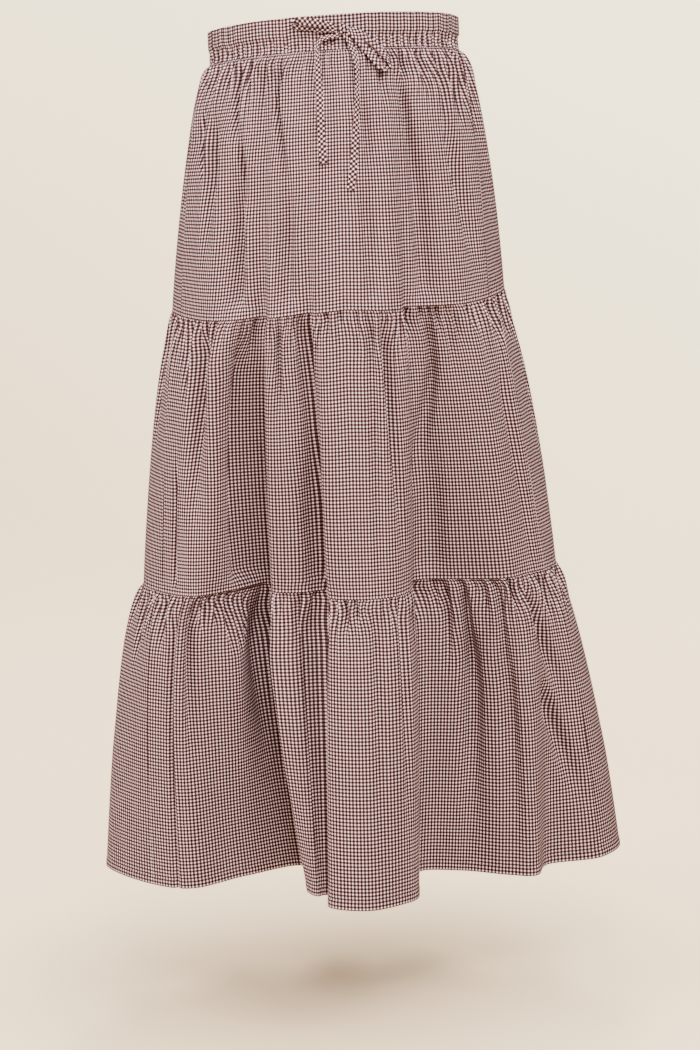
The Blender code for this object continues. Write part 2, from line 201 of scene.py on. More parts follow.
def outward(curve):
    """The level outward direction at each point of a closed curve that runs anticlockwise."""
    along = np.roll(curve, -1, axis=0) - np.roll(curve, 1, axis=0)
    return units(np.stack([along[:, 1], -along[:, 0]], axis=1))


def length_along(line):
    return np.concatenate([[0.0], np.cumsum(np.linalg.norm(np.diff(line, axis=0), axis=1))])


def ripple(turns):
    """A smooth wave from 0 to 1 and back, once a turn."""
    return 0.5 - 0.5 * np.cos(2 * math.pi * turns)


def gather_phase(place, count, seed):
    """Which gather a place on a panel is in, counted from 0 to count: unevenly spaced."""
    rng = np.random.RandomState(seed)
    phase = count * place
    for wave in SWING_WAVES:
        start = rng.uniform(0, 2 * math.pi)
        swing = SWING * count / (2 * math.pi * wave)
        phase = phase + swing * (np.sin(2 * math.pi * wave * place + start) - math.sin(start))
    return phase


def drawn(rng, span, phase, count):
    """A random value in a span for each gather, and values between them, at places in `phase`."""
    return np.interp(phase, np.arange(count + 1), rng.uniform(*span, count + 1))


def valley(kind, turns, down, depth, fade):
    """How far the cloth lies in from its crests for one kind of valley, `turns` valleys along."""
    rise = np.minimum(1.0, kind["start"] + down / kind["rise"])
    fall = np.exp(-(down / (kind["fade"] * fade)) ** kind["sharp"])
    return kind["depth"] * depth * rise * fall * ripple(turns) ** kind["narrow"]


def pucker(phase, down, count, seed):
    """How far the cloth lies in from its crests, by gathers and by the folds they run into."""
    rng = np.random.RandomState(seed)
    depth = drawn(rng, GATHER["range"], phase, count)
    fade = drawn(rng, FADE_RANGE, phase, count)
    fold = drawn(rng, FOLD["range"], phase, count)
    return valley(GATHER, phase, down, depth, fade) + valley(FOLD, phase / 2, down, fold, fade)


def panel_points(curve, is_front):
    """The stretch of a closed curve from one side seam to the other, both ends included."""
    left, right = LEFT_SEAM * SPAN_STEPS, RIGHT_SEAM * SPAN_STEPS
    first, last = (left, right) if is_front else (right, left + len(FOLD_LINES) * SPAN_STEPS)
    return curve[np.arange(first, last + 1) % len(curve)]


def panel_run(number, share, is_front):
    """How far along its panel each curve point is, in metres, a share of the way down a tier."""
    return length_along(panel_points(tier_curve(number, share), is_front))


def panel_ring(number, share, is_front, columns):
    """A panel's plan line and its outward directions, where its columns run down, a share of the
    way down a tier. Columns keep the same share of the panel's length, measured half way down."""
    run = panel_run(number, MIDDLE, is_front)
    curve = tier_curve(number, share)
    line, away = (np.stack([np.interp(columns, run / run[-1], values)
                            for values in panel_points(ring, is_front).T], axis=1)
                  for ring in (curve, outward(curve)))
    return line, units(away)


def seam_height(level, plan):
    """Height of a seam or the hem at each point of a ring in plan."""
    hang = HANG[level]
    across, ahead = plan[:, 0], np.maximum(0.0, -plan[:, 1])
    drop = ahead * (hang["sag"] + hang["side_sag"] * np.abs(across))
    return hang["height"] - drop + hang["tilt"] * across


# ---------------------------------------------------------------- cloth meshes
def cloth_mesh(name, points, faces, places):
    """A smooth mesh with its cloth's map: places holds each face corner's place on flat cloth."""
    mesh = bpy.data.meshes.new(name)
    mesh.from_pydata(points.reshape(-1, 3).tolist(), [], faces)
    layer = mesh.uv_layers.new(name="cloth")
    layer.data.foreach_set("uv", np.asarray(places, dtype=np.float32).ravel())
    mesh.shade_smooth()
    return mesh


def outward_faces(mesh):
    """Turns the faces of a closed mesh to point out."""
    shape = bmesh.new()
    shape.from_mesh(mesh)
    bmesh.ops.recalc_face_normals(shape, faces=shape.faces)
    shape.to_mesh(mesh)
    shape.free()


def tube_mesh(name, rings, pattern, is_closed=False):
    """A mesh through rings of points, with flat ends unless it closes on itself."""
    count, sides = rings.shape[:2]
    faces = []
    places = []
    for r in range(count if is_closed else count - 1):
        s = (r + 1) % count
        here, ahead = pattern[r], pattern[min(r + 1, len(pattern) - 1)]
        for k in range(sides):
            m = (k + 1) % sides
            faces.append((r * sides + k, s * sides + k, s * sides + m, r * sides + m))
            places += [here[k], ahead[k], ahead[k + 1], here[k + 1]]
    if not is_closed:
        faces += [tuple(range(sides)), tuple(count * sides - 1 - k for k in range(sides))]
        places += [*pattern[0][:sides], *pattern[-1][:sides][::-1]]
    mesh = cloth_mesh(name, rings, faces, places)
    outward_faces(mesh)
    return mesh


def grid_mesh(name, points, pattern):
    """A sheet through a grid of points, rows down and columns to the right, seen from outside."""
    rows, columns = points.shape[:2]
    corner = np.arange((rows - 1) * columns).reshape(rows - 1, columns)[:, :-1]
    corners = (corner, corner + columns, corner + columns + 1, corner + 1)
    faces = np.stack(corners, axis=-1).reshape(-1, 4)
    return cloth_mesh(name, points, faces.tolist(), pattern.reshape(-1, 2)[faces.ravel()])


def thicken(piece, thickness):
    """Gives a sheet its thickness, inwards."""
    wall = piece.modifiers.new("thickness", "SOLIDIFY")
    wall.thickness = thickness
    wall.offset = -1.0
    with bpy.context.temp_override(object=piece, active_object=piece, selected_objects=[piece]):
        bpy.ops.object.modifier_apply(modifier=wall.name)


def add_piece(name, mesh, material):
    piece = bpy.data.objects.new(name, mesh)
    mesh.materials.append(material)
    bpy.context.scene.collection.objects.link(piece)
    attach(piece, "root")
    return piece


# ---------------------------------------------------------------- drawstring
TIE_WIDTH = 0.0080
TIE_THICK = 0.0017
TIE_STEP = 0.0022        # between rings of a tie
TIE_SIDES = 14
TIE_POWERS = (0.7, 0.8)      # how square its section is, across and through
AHEAD = np.array([0.0, -1.0, 0.0])       # off the cloth, on the front

KNOT_AT = (0.0100, 0.0050)       # across, and height
KNOT_LIFT = 0.0046               # of its middle off the cloth
KNOT_LEAN = math.radians(62)     # of its turn, up from the level
KNOT_RADII = (0.0048, 0.0034)    # of its turn, along the cloth and off it
KNOT_STEPS = 40
KNOT_WIDTH = 0.0068
KNOT_UNEVEN = 0.10               # of its width, in waves round the turn
KNOT_WAVES = 3
KNOT_WAVE_FROM = 0.5
KNOT_THICK = 0.0022
KNOT_CLOTH = 0.026               # length of the strap round its turn

# Each tie's route away from the knot: across, height, and its middle's lift off the cloth.
TIE_ROUTES = {
    "bow_left_loop": (
        (0.0037, 0.0070, 0.0052), (-0.0095, 0.0100, 0.0082), (-0.0235, 0.0122, 0.0098),
        (-0.0360, 0.0142, 0.0090), (-0.0440, 0.0128, 0.0072), (-0.0400, 0.0096, 0.0050),
        (-0.0265, 0.0078, 0.0040), (-0.0115, 0.0054, 0.0036), (0.0028, 0.0040, 0.0043),
    ),
    "bow_right_loop": (
        (0.0166, 0.0021, 0.0054), (0.0262, -0.0072, 0.0070), (0.0357, -0.0190, 0.0076),
        (0.0447, -0.0305, 0.0072), (0.0524, -0.0385, 0.0060), (0.0580, -0.0365, 0.0046),
        (0.0566, -0.0280, 0.0042), (0.0492, -0.0180, 0.0050), (0.0388, -0.0085, 0.0044),
        (0.0272, 0.0004, 0.0036), (0.0181, 0.0060, 0.0042),
    ),
    "bow_left_tail": (
        (0.0056, -0.0017, 0.0041), (-0.0065, -0.0034, 0.0044), (-0.0150, -0.0065, 0.0038),
        (-0.0182, -0.0165, 0.0046), (-0.0183, -0.0290, 0.0036), (-0.0182, -0.0513, 0.0036),
        (-0.0181, -0.0748, 0.0040), (-0.0173, -0.1143, 0.0040), (-0.0158, -0.1389, 0.0034),
    ),
    "bow_right_tail": (
        (0.0121, -0.0009, 0.0042), (0.0180, -0.0115, 0.0046), (0.0221, -0.0255, 0.0042),
        (0.0239, -0.0444, 0.0036), (0.0221, -0.0765, 0.0040), (0.0194, -0.1041, 0.0042),
        (0.0159, -0.1423, 0.0040), (0.0120, -0.1677, 0.0034),
    ),
}

# How each tie lies: share of its length, its width as a share of TIE_WIDTH, and its turn about
# its own line from flat against the cloth, in degrees.
TIE_TWISTS = {
    "bow_left_loop": (
        (0.00, 0.60, 30), (0.10, 0.85, 14), (0.25, 1.10, 8), (0.38, 1.15, 10), (0.45, 1.15, 45),
        (0.50, 1.10, 90), (0.55, 1.10, 135), (0.63, 1.00, 168), (0.85, 0.85, 172), (1.00, 0.60, 168),
    ),
    "bow_right_loop": (
        (0.00, 0.65, 12), (0.12, 0.95, 14), (0.38, 1.05, 22), (0.46, 1.05, 48), (0.51, 1.05, 82),
        (0.56, 1.05, 118), (0.64, 1.05, 154), (0.80, 1.00, 164), (0.92, 0.85, 160), (1.00, 0.60, 150),
    ),
    "bow_left_tail": (
        (0.00, 0.55, 0), (0.14, 0.60, -30), (0.24, 0.75, -52), (0.34, 0.95, -20), (0.50, 1.00, 4),
        (0.80, 1.00, -5), (1.00, 1.05, -12),
    ),
    "bow_right_tail": (
        (0.00, 0.60, 0), (0.12, 0.70, 20), (0.24, 0.80, 48), (0.38, 0.80, 50), (0.55, 0.95, 30),
        (0.72, 1.00, 12), (1.00, 1.05, 4),
    ),
}


def front_face(across, height):
    """Where the plain outer face of the band and of tier 1 is, at a place on the front."""
    share = np.clip((HANG[0]["height"] - height) / (HANG[0]["height"] - HANG[1]["height"]), 0, 1)
    line = panel_points(tier_curve(1, share), True)
    return np.interp(across, line[:, 0], line[:, 1])


def smooth_path(points, step):
    """Evenly spaced points along the smooth curve through a route's points."""
    ends = np.vstack([2 * points[0] - points[1], points, 2 * points[-1] - points[-2]])
    u = np.linspace(0, 1, SPAN_STEPS, endpoint=False)[:, None]
    smooth = []
    for a, b, c, d in zip(ends, ends[1:], ends[2:], ends[3:]):
        smooth.append(b + (c - a) * u / 2 + (2 * a - 5 * b + 4 * c - d) * u**2 / 2
                      + (3 * b - a - 3 * c + d) * u**3 / 2)
    smooth = np.vstack([*smooth, points[-1:]])
    run = length_along(smooth)
    steps = np.linspace(0, run[-1], round(run[-1] / step) + 1)
    return np.stack([np.interp(steps, run, values) for values in smooth.T], axis=1)


def strap_pattern(run, across):
    """The flat cloth of a strap: run holds its rings' places along it, across its points' places."""
    pattern = np.empty((len(run), TIE_SIDES + 1, 2))
    pattern[:, :, 0] = run[:, None]
    pattern[:, :, 1] = np.append(across, across[0])[None] * TIE_WIDTH
    return pattern


def strap_rings(path, widths, turns):
    """Rings of points of a flat strap along a path, and its flat pattern in metres."""
    along = units(np.gradient(path, axis=0))
    side = units(np.cross(along, AHEAD))
    out = units(np.cross(side, along))
    turn = np.radians(turns)[:, None]
    wide = side * np.cos(turn) + out * np.sin(turn)
    flat = out * np.cos(turn) - side * np.sin(turn)
    angle = 2 * math.pi * np.arange(TIE_SIDES) / TIE_SIDES
    across, lift = (np.sign(way) * np.abs(way) ** power / 2
                    for way, power in zip((np.cos(angle), np.sin(angle)), TIE_POWERS))
    rings = (path[:, None] + across[None, :, None] * widths[:, None, None] * wide[:, None]
             + lift[None, :, None] * TIE_THICK * flat[:, None])
    return rings, strap_pattern(length_along(path), across)


def make_tie(name, material):
    """One stretch of the drawstring outside the knot."""
    points = np.array([(x, front_face(x, z) - lift, z) for x, z, lift in TIE_ROUTES[name]])
    path = smooth_path(points, TIE_STEP)
    share = np.linspace(0, 1, len(path))
    shares, widths, turns = zip(*TIE_TWISTS[name])
    rings, pattern = strap_rings(path, TIE_WIDTH * np.interp(share, shares, widths),
                                 np.interp(share, shares, turns))
    piece = add_piece(f"{name}_strap", tube_mesh(name, rings, pattern), material)
    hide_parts(name)
    return piece, path


def make_knot(material):
    """The knot: one turn of the tie round a small core."""
    across, height = KNOT_AT
    middle = np.array([across, front_face(across, height) - KNOT_LIFT, height])
    angle = 2 * math.pi * np.arange(KNOT_STEPS) / KNOT_STEPS
    along_turn = np.array([math.cos(KNOT_LEAN), 0.0, math.sin(KNOT_LEAN)])
    axis = np.cross(along_turn, AHEAD)
    path = (middle + KNOT_RADII[0] * np.cos(angle)[:, None] * along_turn
            + KNOT_RADII[1] * np.sin(angle)[:, None] * AHEAD)
    widths = KNOT_WIDTH * (1 + KNOT_UNEVEN * np.sin(KNOT_WAVES * angle + KNOT_WAVE_FROM))
    sides = 2 * math.pi * np.arange(TIE_SIDES) / TIE_SIDES
    wide, thick = np.cos(sides) / 2, np.sin(sides) / 2
    rings = (path[:, None] + wide[None, :, None] * widths[:, None, None] * axis
             + thick[None, :, None] * KNOT_THICK * units(path - middle)[:, None])
    run = KNOT_CLOTH * np.arange(KNOT_STEPS + 1) / KNOT_STEPS
    mesh = tube_mesh("bow_knot", rings, strap_pattern(run, wide), is_closed=True)
    piece = add_piece("bow_knot_turn", mesh, material)
    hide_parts("bow_knot")
    return piece


def make_bow(material):
    knot = make_knot(material)
    for name in TIE_ROUTES:
        piece, path = make_tie(name, material)


# ---------------------------------------------------------------- creases
# Valleys: where each starts and ends along its panel (0 at the left end seen from
# outside, 1 at the right), how far down it starts, is deepest and ends, its width and depth, in
# metres, and its lean: above 0 its left side is the steep one, below 0 its right side. Where the
# depth is below 0 it is a ridge.
CREASE_COLUMNS = ("place", "end_place", "start", "full", "end", "width", "depth", "lean")
CREASES = {
    "tier_1_front": (
        (0.045, 0.080,  0.045, 0.080, 0.135, 0.0036, 0.0171,  0.0),
        (0.085, 0.090, -0.004, 0.010, 0.040, 0.0040, 0.0098,  0.0),
        (0.105, 0.125,  0.040, 0.090, 0.240, 0.0085, 0.0159,  0.2),
        (0.150, 0.150, -0.004, 0.010, 0.035, 0.0030, 0.0061,  0.0),
        (0.188, 0.212, -0.004, 0.020, 0.115, 0.0032, 0.0146,  0.0),
        (0.205, 0.285,  0.050, 0.100, 0.200, 0.0045, 0.0098,  0.0),
        (0.225, 0.278,  0.080, 0.170, 0.420, 0.0120, 0.0232, -0.6),
        (0.235, 0.240, -0.004, 0.010, 0.040, 0.0030, 0.0073,  0.0),
        (0.288, 0.300, -0.004, 0.012, 0.095, 0.0028, 0.0061,  0.0),
        (0.350, 0.338, -0.004, 0.016, 0.080, 0.0032, 0.0134,  0.0),
        (0.336, 0.400,  0.035, 0.070, 0.160, 0.0036, 0.0134,  0.0),
        (0.390, 0.420,  0.110, 0.190, 0.400, 0.0100, 0.0159, -0.5),
        (0.410, 0.410, -0.004, 0.010, 0.030, 0.0030, 0.0049,  0.0),
        (0.455, 0.460, -0.004, 0.010, 0.060, 0.0035, 0.0061,  0.0),
        (0.540, 0.545, -0.004, 0.010, 0.040, 0.0035, 0.0055,  0.0),
        (0.600, 0.605, -0.004, 0.010, 0.040, 0.0035, 0.0055,  0.0),
        (0.615, 0.620,  0.030, 0.080, 0.160, 0.0055, 0.0085,  0.0),
        (0.600, 0.614,  0.120, 0.180, 0.420, 0.0080, 0.0098,  0.3),
        (0.672, 0.680,  0.000, 0.030, 0.075, 0.0045, 0.0085,  0.0),
        (0.757, 0.755, -0.004, 0.012, 0.040, 0.0034, 0.0098,  0.0),
        (0.740, 0.770,  0.025, 0.060, 0.150, 0.0045, 0.0134,  0.0),
        (0.760, 0.786,  0.060, 0.140, 0.420, 0.0100, 0.0183,  0.3),
        (0.815, 0.830, -0.004, 0.012, 0.050, 0.0035, 0.0098,  0.0),
        (0.900, 0.884, -0.004, 0.020, 0.125, 0.0050, 0.0140,  0.0),
        (0.884, 0.955,  0.065, 0.125, 0.270, 0.0100, 0.0160,  0.0),
        (0.935, 0.955,  0.010, 0.030, 0.100, 0.0038, 0.0115,  0.0),
        (0.978, 0.992, -0.004, 0.020, 0.100, 0.0046, 0.0120,  0.0),
    ),
    "tier_2_front": (
        (0.058, 0.062, -0.004, 0.020, 0.120, 0.0040, 0.0070,  0.0),
        (0.045, 0.048,  0.130, 0.220, 0.450, 0.0035, 0.0080,  0.0),
        (0.094, 0.112, -0.004, 0.040, 0.300, 0.0105, 0.0220,  0.1),
        (0.138, 0.152, -0.010, 0.060, 0.380, 0.0100, -0.013,  0.0),
        (0.186, 0.208, -0.004, 0.060, 0.480, 0.0175, 0.0330,  0.5),
        (0.232, 0.238, -0.004, 0.014, 0.060, 0.0035, 0.0090,  0.0),
        (0.262, 0.270, -0.004, 0.014, 0.045, 0.0035, 0.0080,  0.0),
        (0.352, 0.352, -0.004, 0.030, 0.140, 0.0042, 0.0140,  0.0),
        (0.412, 0.444, -0.004, 0.020, 0.320, 0.0080, 0.0150, -0.2),
        (0.425, 0.430,  0.120, 0.230, 0.480, 0.0150, 0.0140, -0.3),
        (0.500, 0.500, -0.004, 0.010, 0.028, 0.0030, 0.0060,  0.0),
        (0.530, 0.530, -0.004, 0.010, 0.025, 0.0030, 0.0060,  0.0),
        (0.587, 0.583, -0.004, 0.020, 0.080, 0.0042, 0.0150,  0.0),
        (0.583, 0.592,  0.030, 0.090, 0.380, 0.0060, 0.0080,  0.0),
        (0.610, 0.650, -0.004, 0.050, 0.330, 0.0060, 0.0160,  0.0),
        (0.745, 0.740, -0.004, 0.012, 0.040, 0.0035, 0.0090,  0.0),
        (0.793, 0.787, -0.004, 0.030, 0.100, 0.0052, 0.0170,  0.0),
        (0.798, 0.726,  0.045, 0.090, 0.240, 0.0075, 0.0160,  0.0),
        (0.772, 0.766,  0.120, 0.240, 0.420, 0.0130, 0.0100,  0.0),
        (0.818, 0.818, -0.004, 0.012, 0.045, 0.0035, 0.0080,  0.0),
        (0.835, 0.842, -0.004, 0.020, 0.110, 0.0045, 0.0090,  0.0),
        (0.862, 0.866, -0.004, 0.012, 0.055, 0.0040, 0.0090,  0.0),
        (0.905, 0.912, -0.004, 0.012, 0.040, 0.0035, 0.0070,  0.0),
        (0.970, 0.965,  0.050, 0.120, 0.400, 0.0070, 0.0080, -0.3),
        (0.985, 0.990, -0.004, 0.012, 0.060, 0.0045, 0.0100,  0.0),
    ),
    "tier_3_front": (
        (0.020, 0.018, -0.004, 0.012, 0.070, 0.0045, 0.0090,  0.0),
        (0.044, 0.051,  0.000, 0.040, 0.620, 0.0034, 0.0078,  0.0),
        (0.074, 0.084, -0.004, 0.040, 0.240, 0.0100, 0.0190,  0.2),
        (0.106, 0.104, -0.004, 0.014, 0.050, 0.0040, 0.0110,  0.0),
        (0.128, 0.127, -0.004, 0.012, 0.040, 0.0035, 0.0080,  0.0),
        (0.150, 0.152, -0.004, 0.020, 0.080, 0.0042, 0.0120,  0.0),
        (0.168, 0.170, -0.004, 0.020, 0.090, 0.0040, 0.0100,  0.0),
        (0.190, 0.190, -0.004, 0.020, 0.080, 0.0040, 0.0120,  0.0),
        (0.150, 0.145,  0.000, 0.080, 0.300, 0.0220, -0.014,  0.0),
        (0.232, 0.226, -0.004, 0.070, 0.300, 0.0230, 0.0260,  0.0),
        (0.338, 0.340,  0.000, 0.080, 0.400, 0.0070, -0.006,  0.0),
        (0.352, 0.350, -0.004, 0.012, 0.040, 0.0035, 0.0060,  0.0),
        (0.372, 0.378, -0.004, 0.020, 0.080, 0.0060, 0.0110,  0.0),
        (0.392, 0.400, -0.004, 0.060, 0.440, 0.0180, 0.0180,  0.0),
        (0.500, 0.502, -0.004, 0.012, 0.040, 0.0035, 0.0090,  0.0),
        (0.520, 0.521, -0.004, 0.010, 0.030, 0.0030, 0.0070,  0.0),
        (0.548, 0.547, -0.004, 0.030, 0.360, 0.0070, 0.0070,  0.0),
        (0.592, 0.592, -0.004, 0.030, 0.300, 0.0060, 0.0100,  0.0),
        (0.735, 0.733, -0.004, 0.012, 0.050, 0.0070, 0.0100,  0.0),
        (0.752, 0.752, -0.004, 0.012, 0.040, 0.0035, 0.0110,  0.0),
        (0.768, 0.766, -0.004, 0.030, 0.120, 0.0048, 0.0150,  0.0),
        (0.795, 0.798, -0.004, 0.030, 0.140, 0.0048, 0.0190,  0.0),
        (0.797, 0.804,  0.040, 0.100, 0.340, 0.0110, 0.0220,  0.0),
        (0.830, 0.830, -0.004, 0.012, 0.045, 0.0035, 0.0090,  0.0),
        (0.860, 0.852, -0.004, 0.020, 0.110, 0.0042, 0.0130,  0.0),
        (0.853, 0.862,  0.040, 0.120, 0.380, 0.0100, 0.0160,  0.0),
        (0.885, 0.887, -0.004, 0.012, 0.045, 0.0035, 0.0080,  0.0),
        (0.912, 0.985, -0.004, 0.050, 0.180, 0.0090, 0.0190,  0.0),
        (0.930, 0.995,  0.110, 0.160, 0.300, 0.0090, 0.0180,  0.0),
        (0.962, 0.968, -0.004, 0.014, 0.060, 0.0040, 0.0100,  0.0),
    ),
    "tier_1_back": (
        (0.032, 0.040, -0.004, 0.020, 0.110, 0.0050, 0.0100,  0.0),
        (0.090, 0.072,  0.020, 0.060, 0.200, 0.0080, 0.0110,  0.2),
        (0.148, 0.150, -0.004, 0.016, 0.070, 0.0045, 0.0080,  0.0),
        (0.205, 0.190, -0.004, 0.030, 0.150, 0.0060, 0.0130,  0.0),
        (0.262, 0.230,  0.080, 0.150, 0.400, 0.0110, 0.0130, -0.3),
        (0.318, 0.322, -0.004, 0.014, 0.060, 0.0045, 0.0090,  0.0),
        (0.395, 0.378,  0.010, 0.070, 0.260, 0.0080, 0.0120,  0.3),
        (0.470, 0.472, -0.004, 0.020, 0.090, 0.0050, 0.0100,  0.0),
        (0.548, 0.560,  0.060, 0.130, 0.380, 0.0100, 0.0120,  0.0),
        (0.612, 0.606, -0.004, 0.014, 0.055, 0.0045, 0.0090,  0.0),
        (0.668, 0.690, -0.004, 0.040, 0.170, 0.0065, 0.0130,  0.0),
        (0.735, 0.762,  0.050, 0.110, 0.330, 0.0090, 0.0120,  0.3),
        (0.790, 0.792, -0.004, 0.014, 0.060, 0.0045, 0.0090,  0.0),
        (0.856, 0.872,  0.000, 0.050, 0.190, 0.0070, 0.0120,  0.0),
        (0.925, 0.934, -0.004, 0.020, 0.100, 0.0050, 0.0100,  0.0),
        (0.972, 0.968,  0.030, 0.080, 0.210, 0.0070, 0.0090,  0.0),
    ),
    "tier_2_back": (
        (0.028, 0.030, -0.004, 0.014, 0.060, 0.0045, 0.0080,  0.0),
        (0.070, 0.062, -0.004, 0.040, 0.220, 0.0080, 0.0130,  0.0),
        (0.118, 0.120, -0.004, 0.014, 0.050, 0.0045, 0.0090,  0.0),
        (0.175, 0.158,  0.020, 0.090, 0.330, 0.0110, 0.0150,  0.2),
        (0.232, 0.236, -0.004, 0.016, 0.080, 0.0050, 0.0100,  0.0),
        (0.290, 0.275, -0.004, 0.050, 0.260, 0.0090, 0.0140,  0.0),
        (0.345, 0.348, -0.004, 0.014, 0.055, 0.0045, 0.0090,  0.0),
        (0.410, 0.398,  0.090, 0.180, 0.440, 0.0120, 0.0130,  0.0),
        (0.438, 0.440, -0.004, 0.020, 0.100, 0.0050, 0.0110,  0.0),
        (0.520, 0.515, -0.004, 0.030, 0.160, 0.0065, 0.0120,  0.0),
        (0.588, 0.604,  0.030, 0.110, 0.360, 0.0110, 0.0150, -0.2),
        (0.640, 0.642, -0.004, 0.014, 0.060, 0.0045, 0.0100,  0.0),
        (0.705, 0.716, -0.004, 0.050, 0.280, 0.0085, 0.0140,  0.0),
        (0.772, 0.770, -0.004, 0.014, 0.050, 0.0045, 0.0090,  0.0),
        (0.835, 0.850,  0.010, 0.070, 0.300, 0.0100, 0.0140,  0.0),
        (0.890, 0.893, -0.004, 0.016, 0.070, 0.0050, 0.0090,  0.0),
        (0.948, 0.955, -0.004, 0.030, 0.190, 0.0075, 0.0110,  0.0),
    ),
    "tier_3_back": (
        (0.022, 0.024, -0.004, 0.014, 0.060, 0.0050, 0.0090,  0.0),
        (0.060, 0.054, -0.004, 0.040, 0.230, 0.0085, 0.0140,  0.0),
        (0.098, 0.100, -0.004, 0.014, 0.055, 0.0050, 0.0100,  0.0),
        (0.146, 0.132, -0.004, 0.060, 0.330, 0.0110, 0.0160,  0.0),
        (0.190, 0.192, -0.004, 0.014, 0.050, 0.0050, 0.0100,  0.0),
        (0.242, 0.236, -0.004, 0.030, 0.140, 0.0065, 0.0130,  0.0),
        (0.285, 0.270,  0.040, 0.120, 0.400, 0.0120, 0.0150,  0.3),
        (0.336, 0.338, -0.004, 0.016, 0.070, 0.0050, 0.0100,  0.0),
        (0.384, 0.378, -0.004, 0.050, 0.300, 0.0095, 0.0160,  0.0),
        (0.432, 0.434, -0.004, 0.014, 0.050, 0.0050, 0.0090,  0.0),
        (0.478, 0.472, -0.004, 0.030, 0.180, 0.0070, 0.0130,  0.0),
        (0.536, 0.545, -0.004, 0.070, 0.380, 0.0120, 0.0170, -0.2),
        (0.590, 0.592, -0.004, 0.014, 0.060, 0.0050, 0.0100,  0.0),
        (0.636, 0.640, -0.004, 0.040, 0.220, 0.0080, 0.0140,  0.0),
        (0.688, 0.700,  0.030, 0.100, 0.420, 0.0110, 0.0150,  0.0),
        (0.742, 0.744, -0.004, 0.016, 0.070, 0.0050, 0.0110,  0.0),
        (0.796, 0.808, -0.004, 0.050, 0.300, 0.0095, 0.0150,  0.0),
        (0.852, 0.854, -0.004, 0.014, 0.050, 0.0050, 0.0090,  0.0),
        (0.902, 0.912, -0.004, 0.030, 0.200, 0.0075, 0.0130,  0.0),
        (0.958, 0.964, -0.004, 0.020, 0.100, 0.0055, 0.0110,  0.0),
    ),
}
CREASE_POWER = 2.4       # how square a valley's section is
LEDGE = 2.2              # how far down a valley reaches its full depth, for each metre of depth


def ease(share):
    share = np.clip(share, 0, 1)
    return share**2 * (3 - 2 * share)


def crease_depth(name, along, down):
    """How far the valleys of a panel take its cloth in, at each point of one row.

    along holds each point's distance along the panel, in metres."""
    depth = np.zeros(len(along))
    for row in CREASES[name]:
        crease = dict(zip(CREASE_COLUMNS, row))
        full = max(crease["full"], crease["start"] + LEDGE * abs(crease["depth"]))
        run = (down - crease["start"]) / (crease["end"] - crease["start"])
        if not 0 < run < 1:
            continue
        place = crease["place"] + (crease["end_place"] - crease["place"]) * run
        strength = (ease((down - crease["start"]) / (full - crease["start"]))
                    * (1 - ease((down - full) / (crease["end"] - full))))
        off = along - place * along[-1]
        width = crease["width"] * (1 + crease["lean"] * np.sign(off))
        depth += crease["depth"] * strength * np.exp(-np.abs(off / width) ** CREASE_POWER)
    return depth


# ---------------------------------------------------------------- cloth laid flat
SQUARE = 0.0020
REPEAT = 2 * SQUARE
SEAM_PHASE = 0.28        # where in a repeat of the check an edge lies, counted from a dark row's start
COLUMN_EASE = 0.87       # the least share of a column's own width that it takes of the flat cloth
COLUMN_LIMIT = 1.8       # the most, as a share of an even spread
DRIFT_SHARE = 0.65       # how far the check gives way sideways where a valley takes up more cloth
DRIFT_COLUMNS = 22       # about how many columns either way evens that out
DRIFT_ROWS = 2.5         # about how many rows either way share it


def smoothed(values, reach, axis):
    """Values of a grid evened out along one axis, over about reach points either way."""
    steps = np.arange(-round(3 * reach), round(3 * reach) + 1)
    weights = np.exp(-(steps / reach) ** 2 / 2)
    weights /= weights.sum()
    padding = [(0, 0), (0, 0)]
    padding[axis] = (len(steps) // 2, len(steps) // 2)
    padded = np.pad(values, padding, mode="edge")
    return np.apply_along_axis(lambda line: np.convolve(line, weights, "valid"), axis, padded)


def laid_flat(points, fullness, seam_row):
    """The place of each point of a grid on its cloth laid flat, in metres.

    Its columns run down the whole cloth, and give way a little beside a valley."""
    steps = np.diff(points, axis=1)
    taken = np.maximum(COLUMN_EASE * np.linalg.norm(steps, axis=2), np.abs(steps[:, :, 0]))
    columns = taken.mean(axis=0)
    columns = np.minimum(columns, COLUMN_LIMIT * np.median(columns))
    across = np.concatenate([[0.0], np.cumsum(columns)])
    drift = np.pad(np.cumsum(taken - taken.mean(axis=0), axis=1), ((0, 0), (1, 0)))
    drift = smoothed(drift - smoothed(drift, DRIFT_COLUMNS, 1), DRIFT_ROWS, 0)
    drops = np.linalg.norm(np.diff(points, axis=0), axis=2).mean(axis=1)
    down = np.concatenate([[0.0], np.cumsum(drops)]) - drops[:seam_row].sum()
    repeats = round(fullness[1] * down[-1] / REPEAT)
    flat = np.empty((*points.shape[:2], 2))
    flat[:, :, 0] = fullness[0] * (across + DRIFT_SHARE * drift)
    flat[:, :, 1] = SEAM_PHASE * REPEAT - (repeats * REPEAT / down[-1]) * down[:, None]
    return flat


# ---------------------------------------------------------------- stitches
STITCH_LENGTH = 0.0024
STITCH_PITCH = 0.0031
STITCH_THICK = 0.00042
STITCH_SINK = 0.0003     # how far a stitch's ends dip into the cloth
STITCH_END = 0.42        # of its length from its middle, where its ends start


def select_where(mesh, kind, is_wanted):
    """Selects the vertices or edges that a test picks out of the active object, in edit mode."""
    bpy.ops.object.mode_set(mode="EDIT")
    bpy.ops.mesh.select_mode(type=kind)
    bpy.ops.mesh.select_all(action="DESELECT")
    bpy.ops.object.mode_set(mode="OBJECT")
    for part in mesh.vertices if kind == "VERT" else mesh.edges:
        part.select = is_wanted(part)
    bpy.ops.object.mode_set(mode="EDIT")


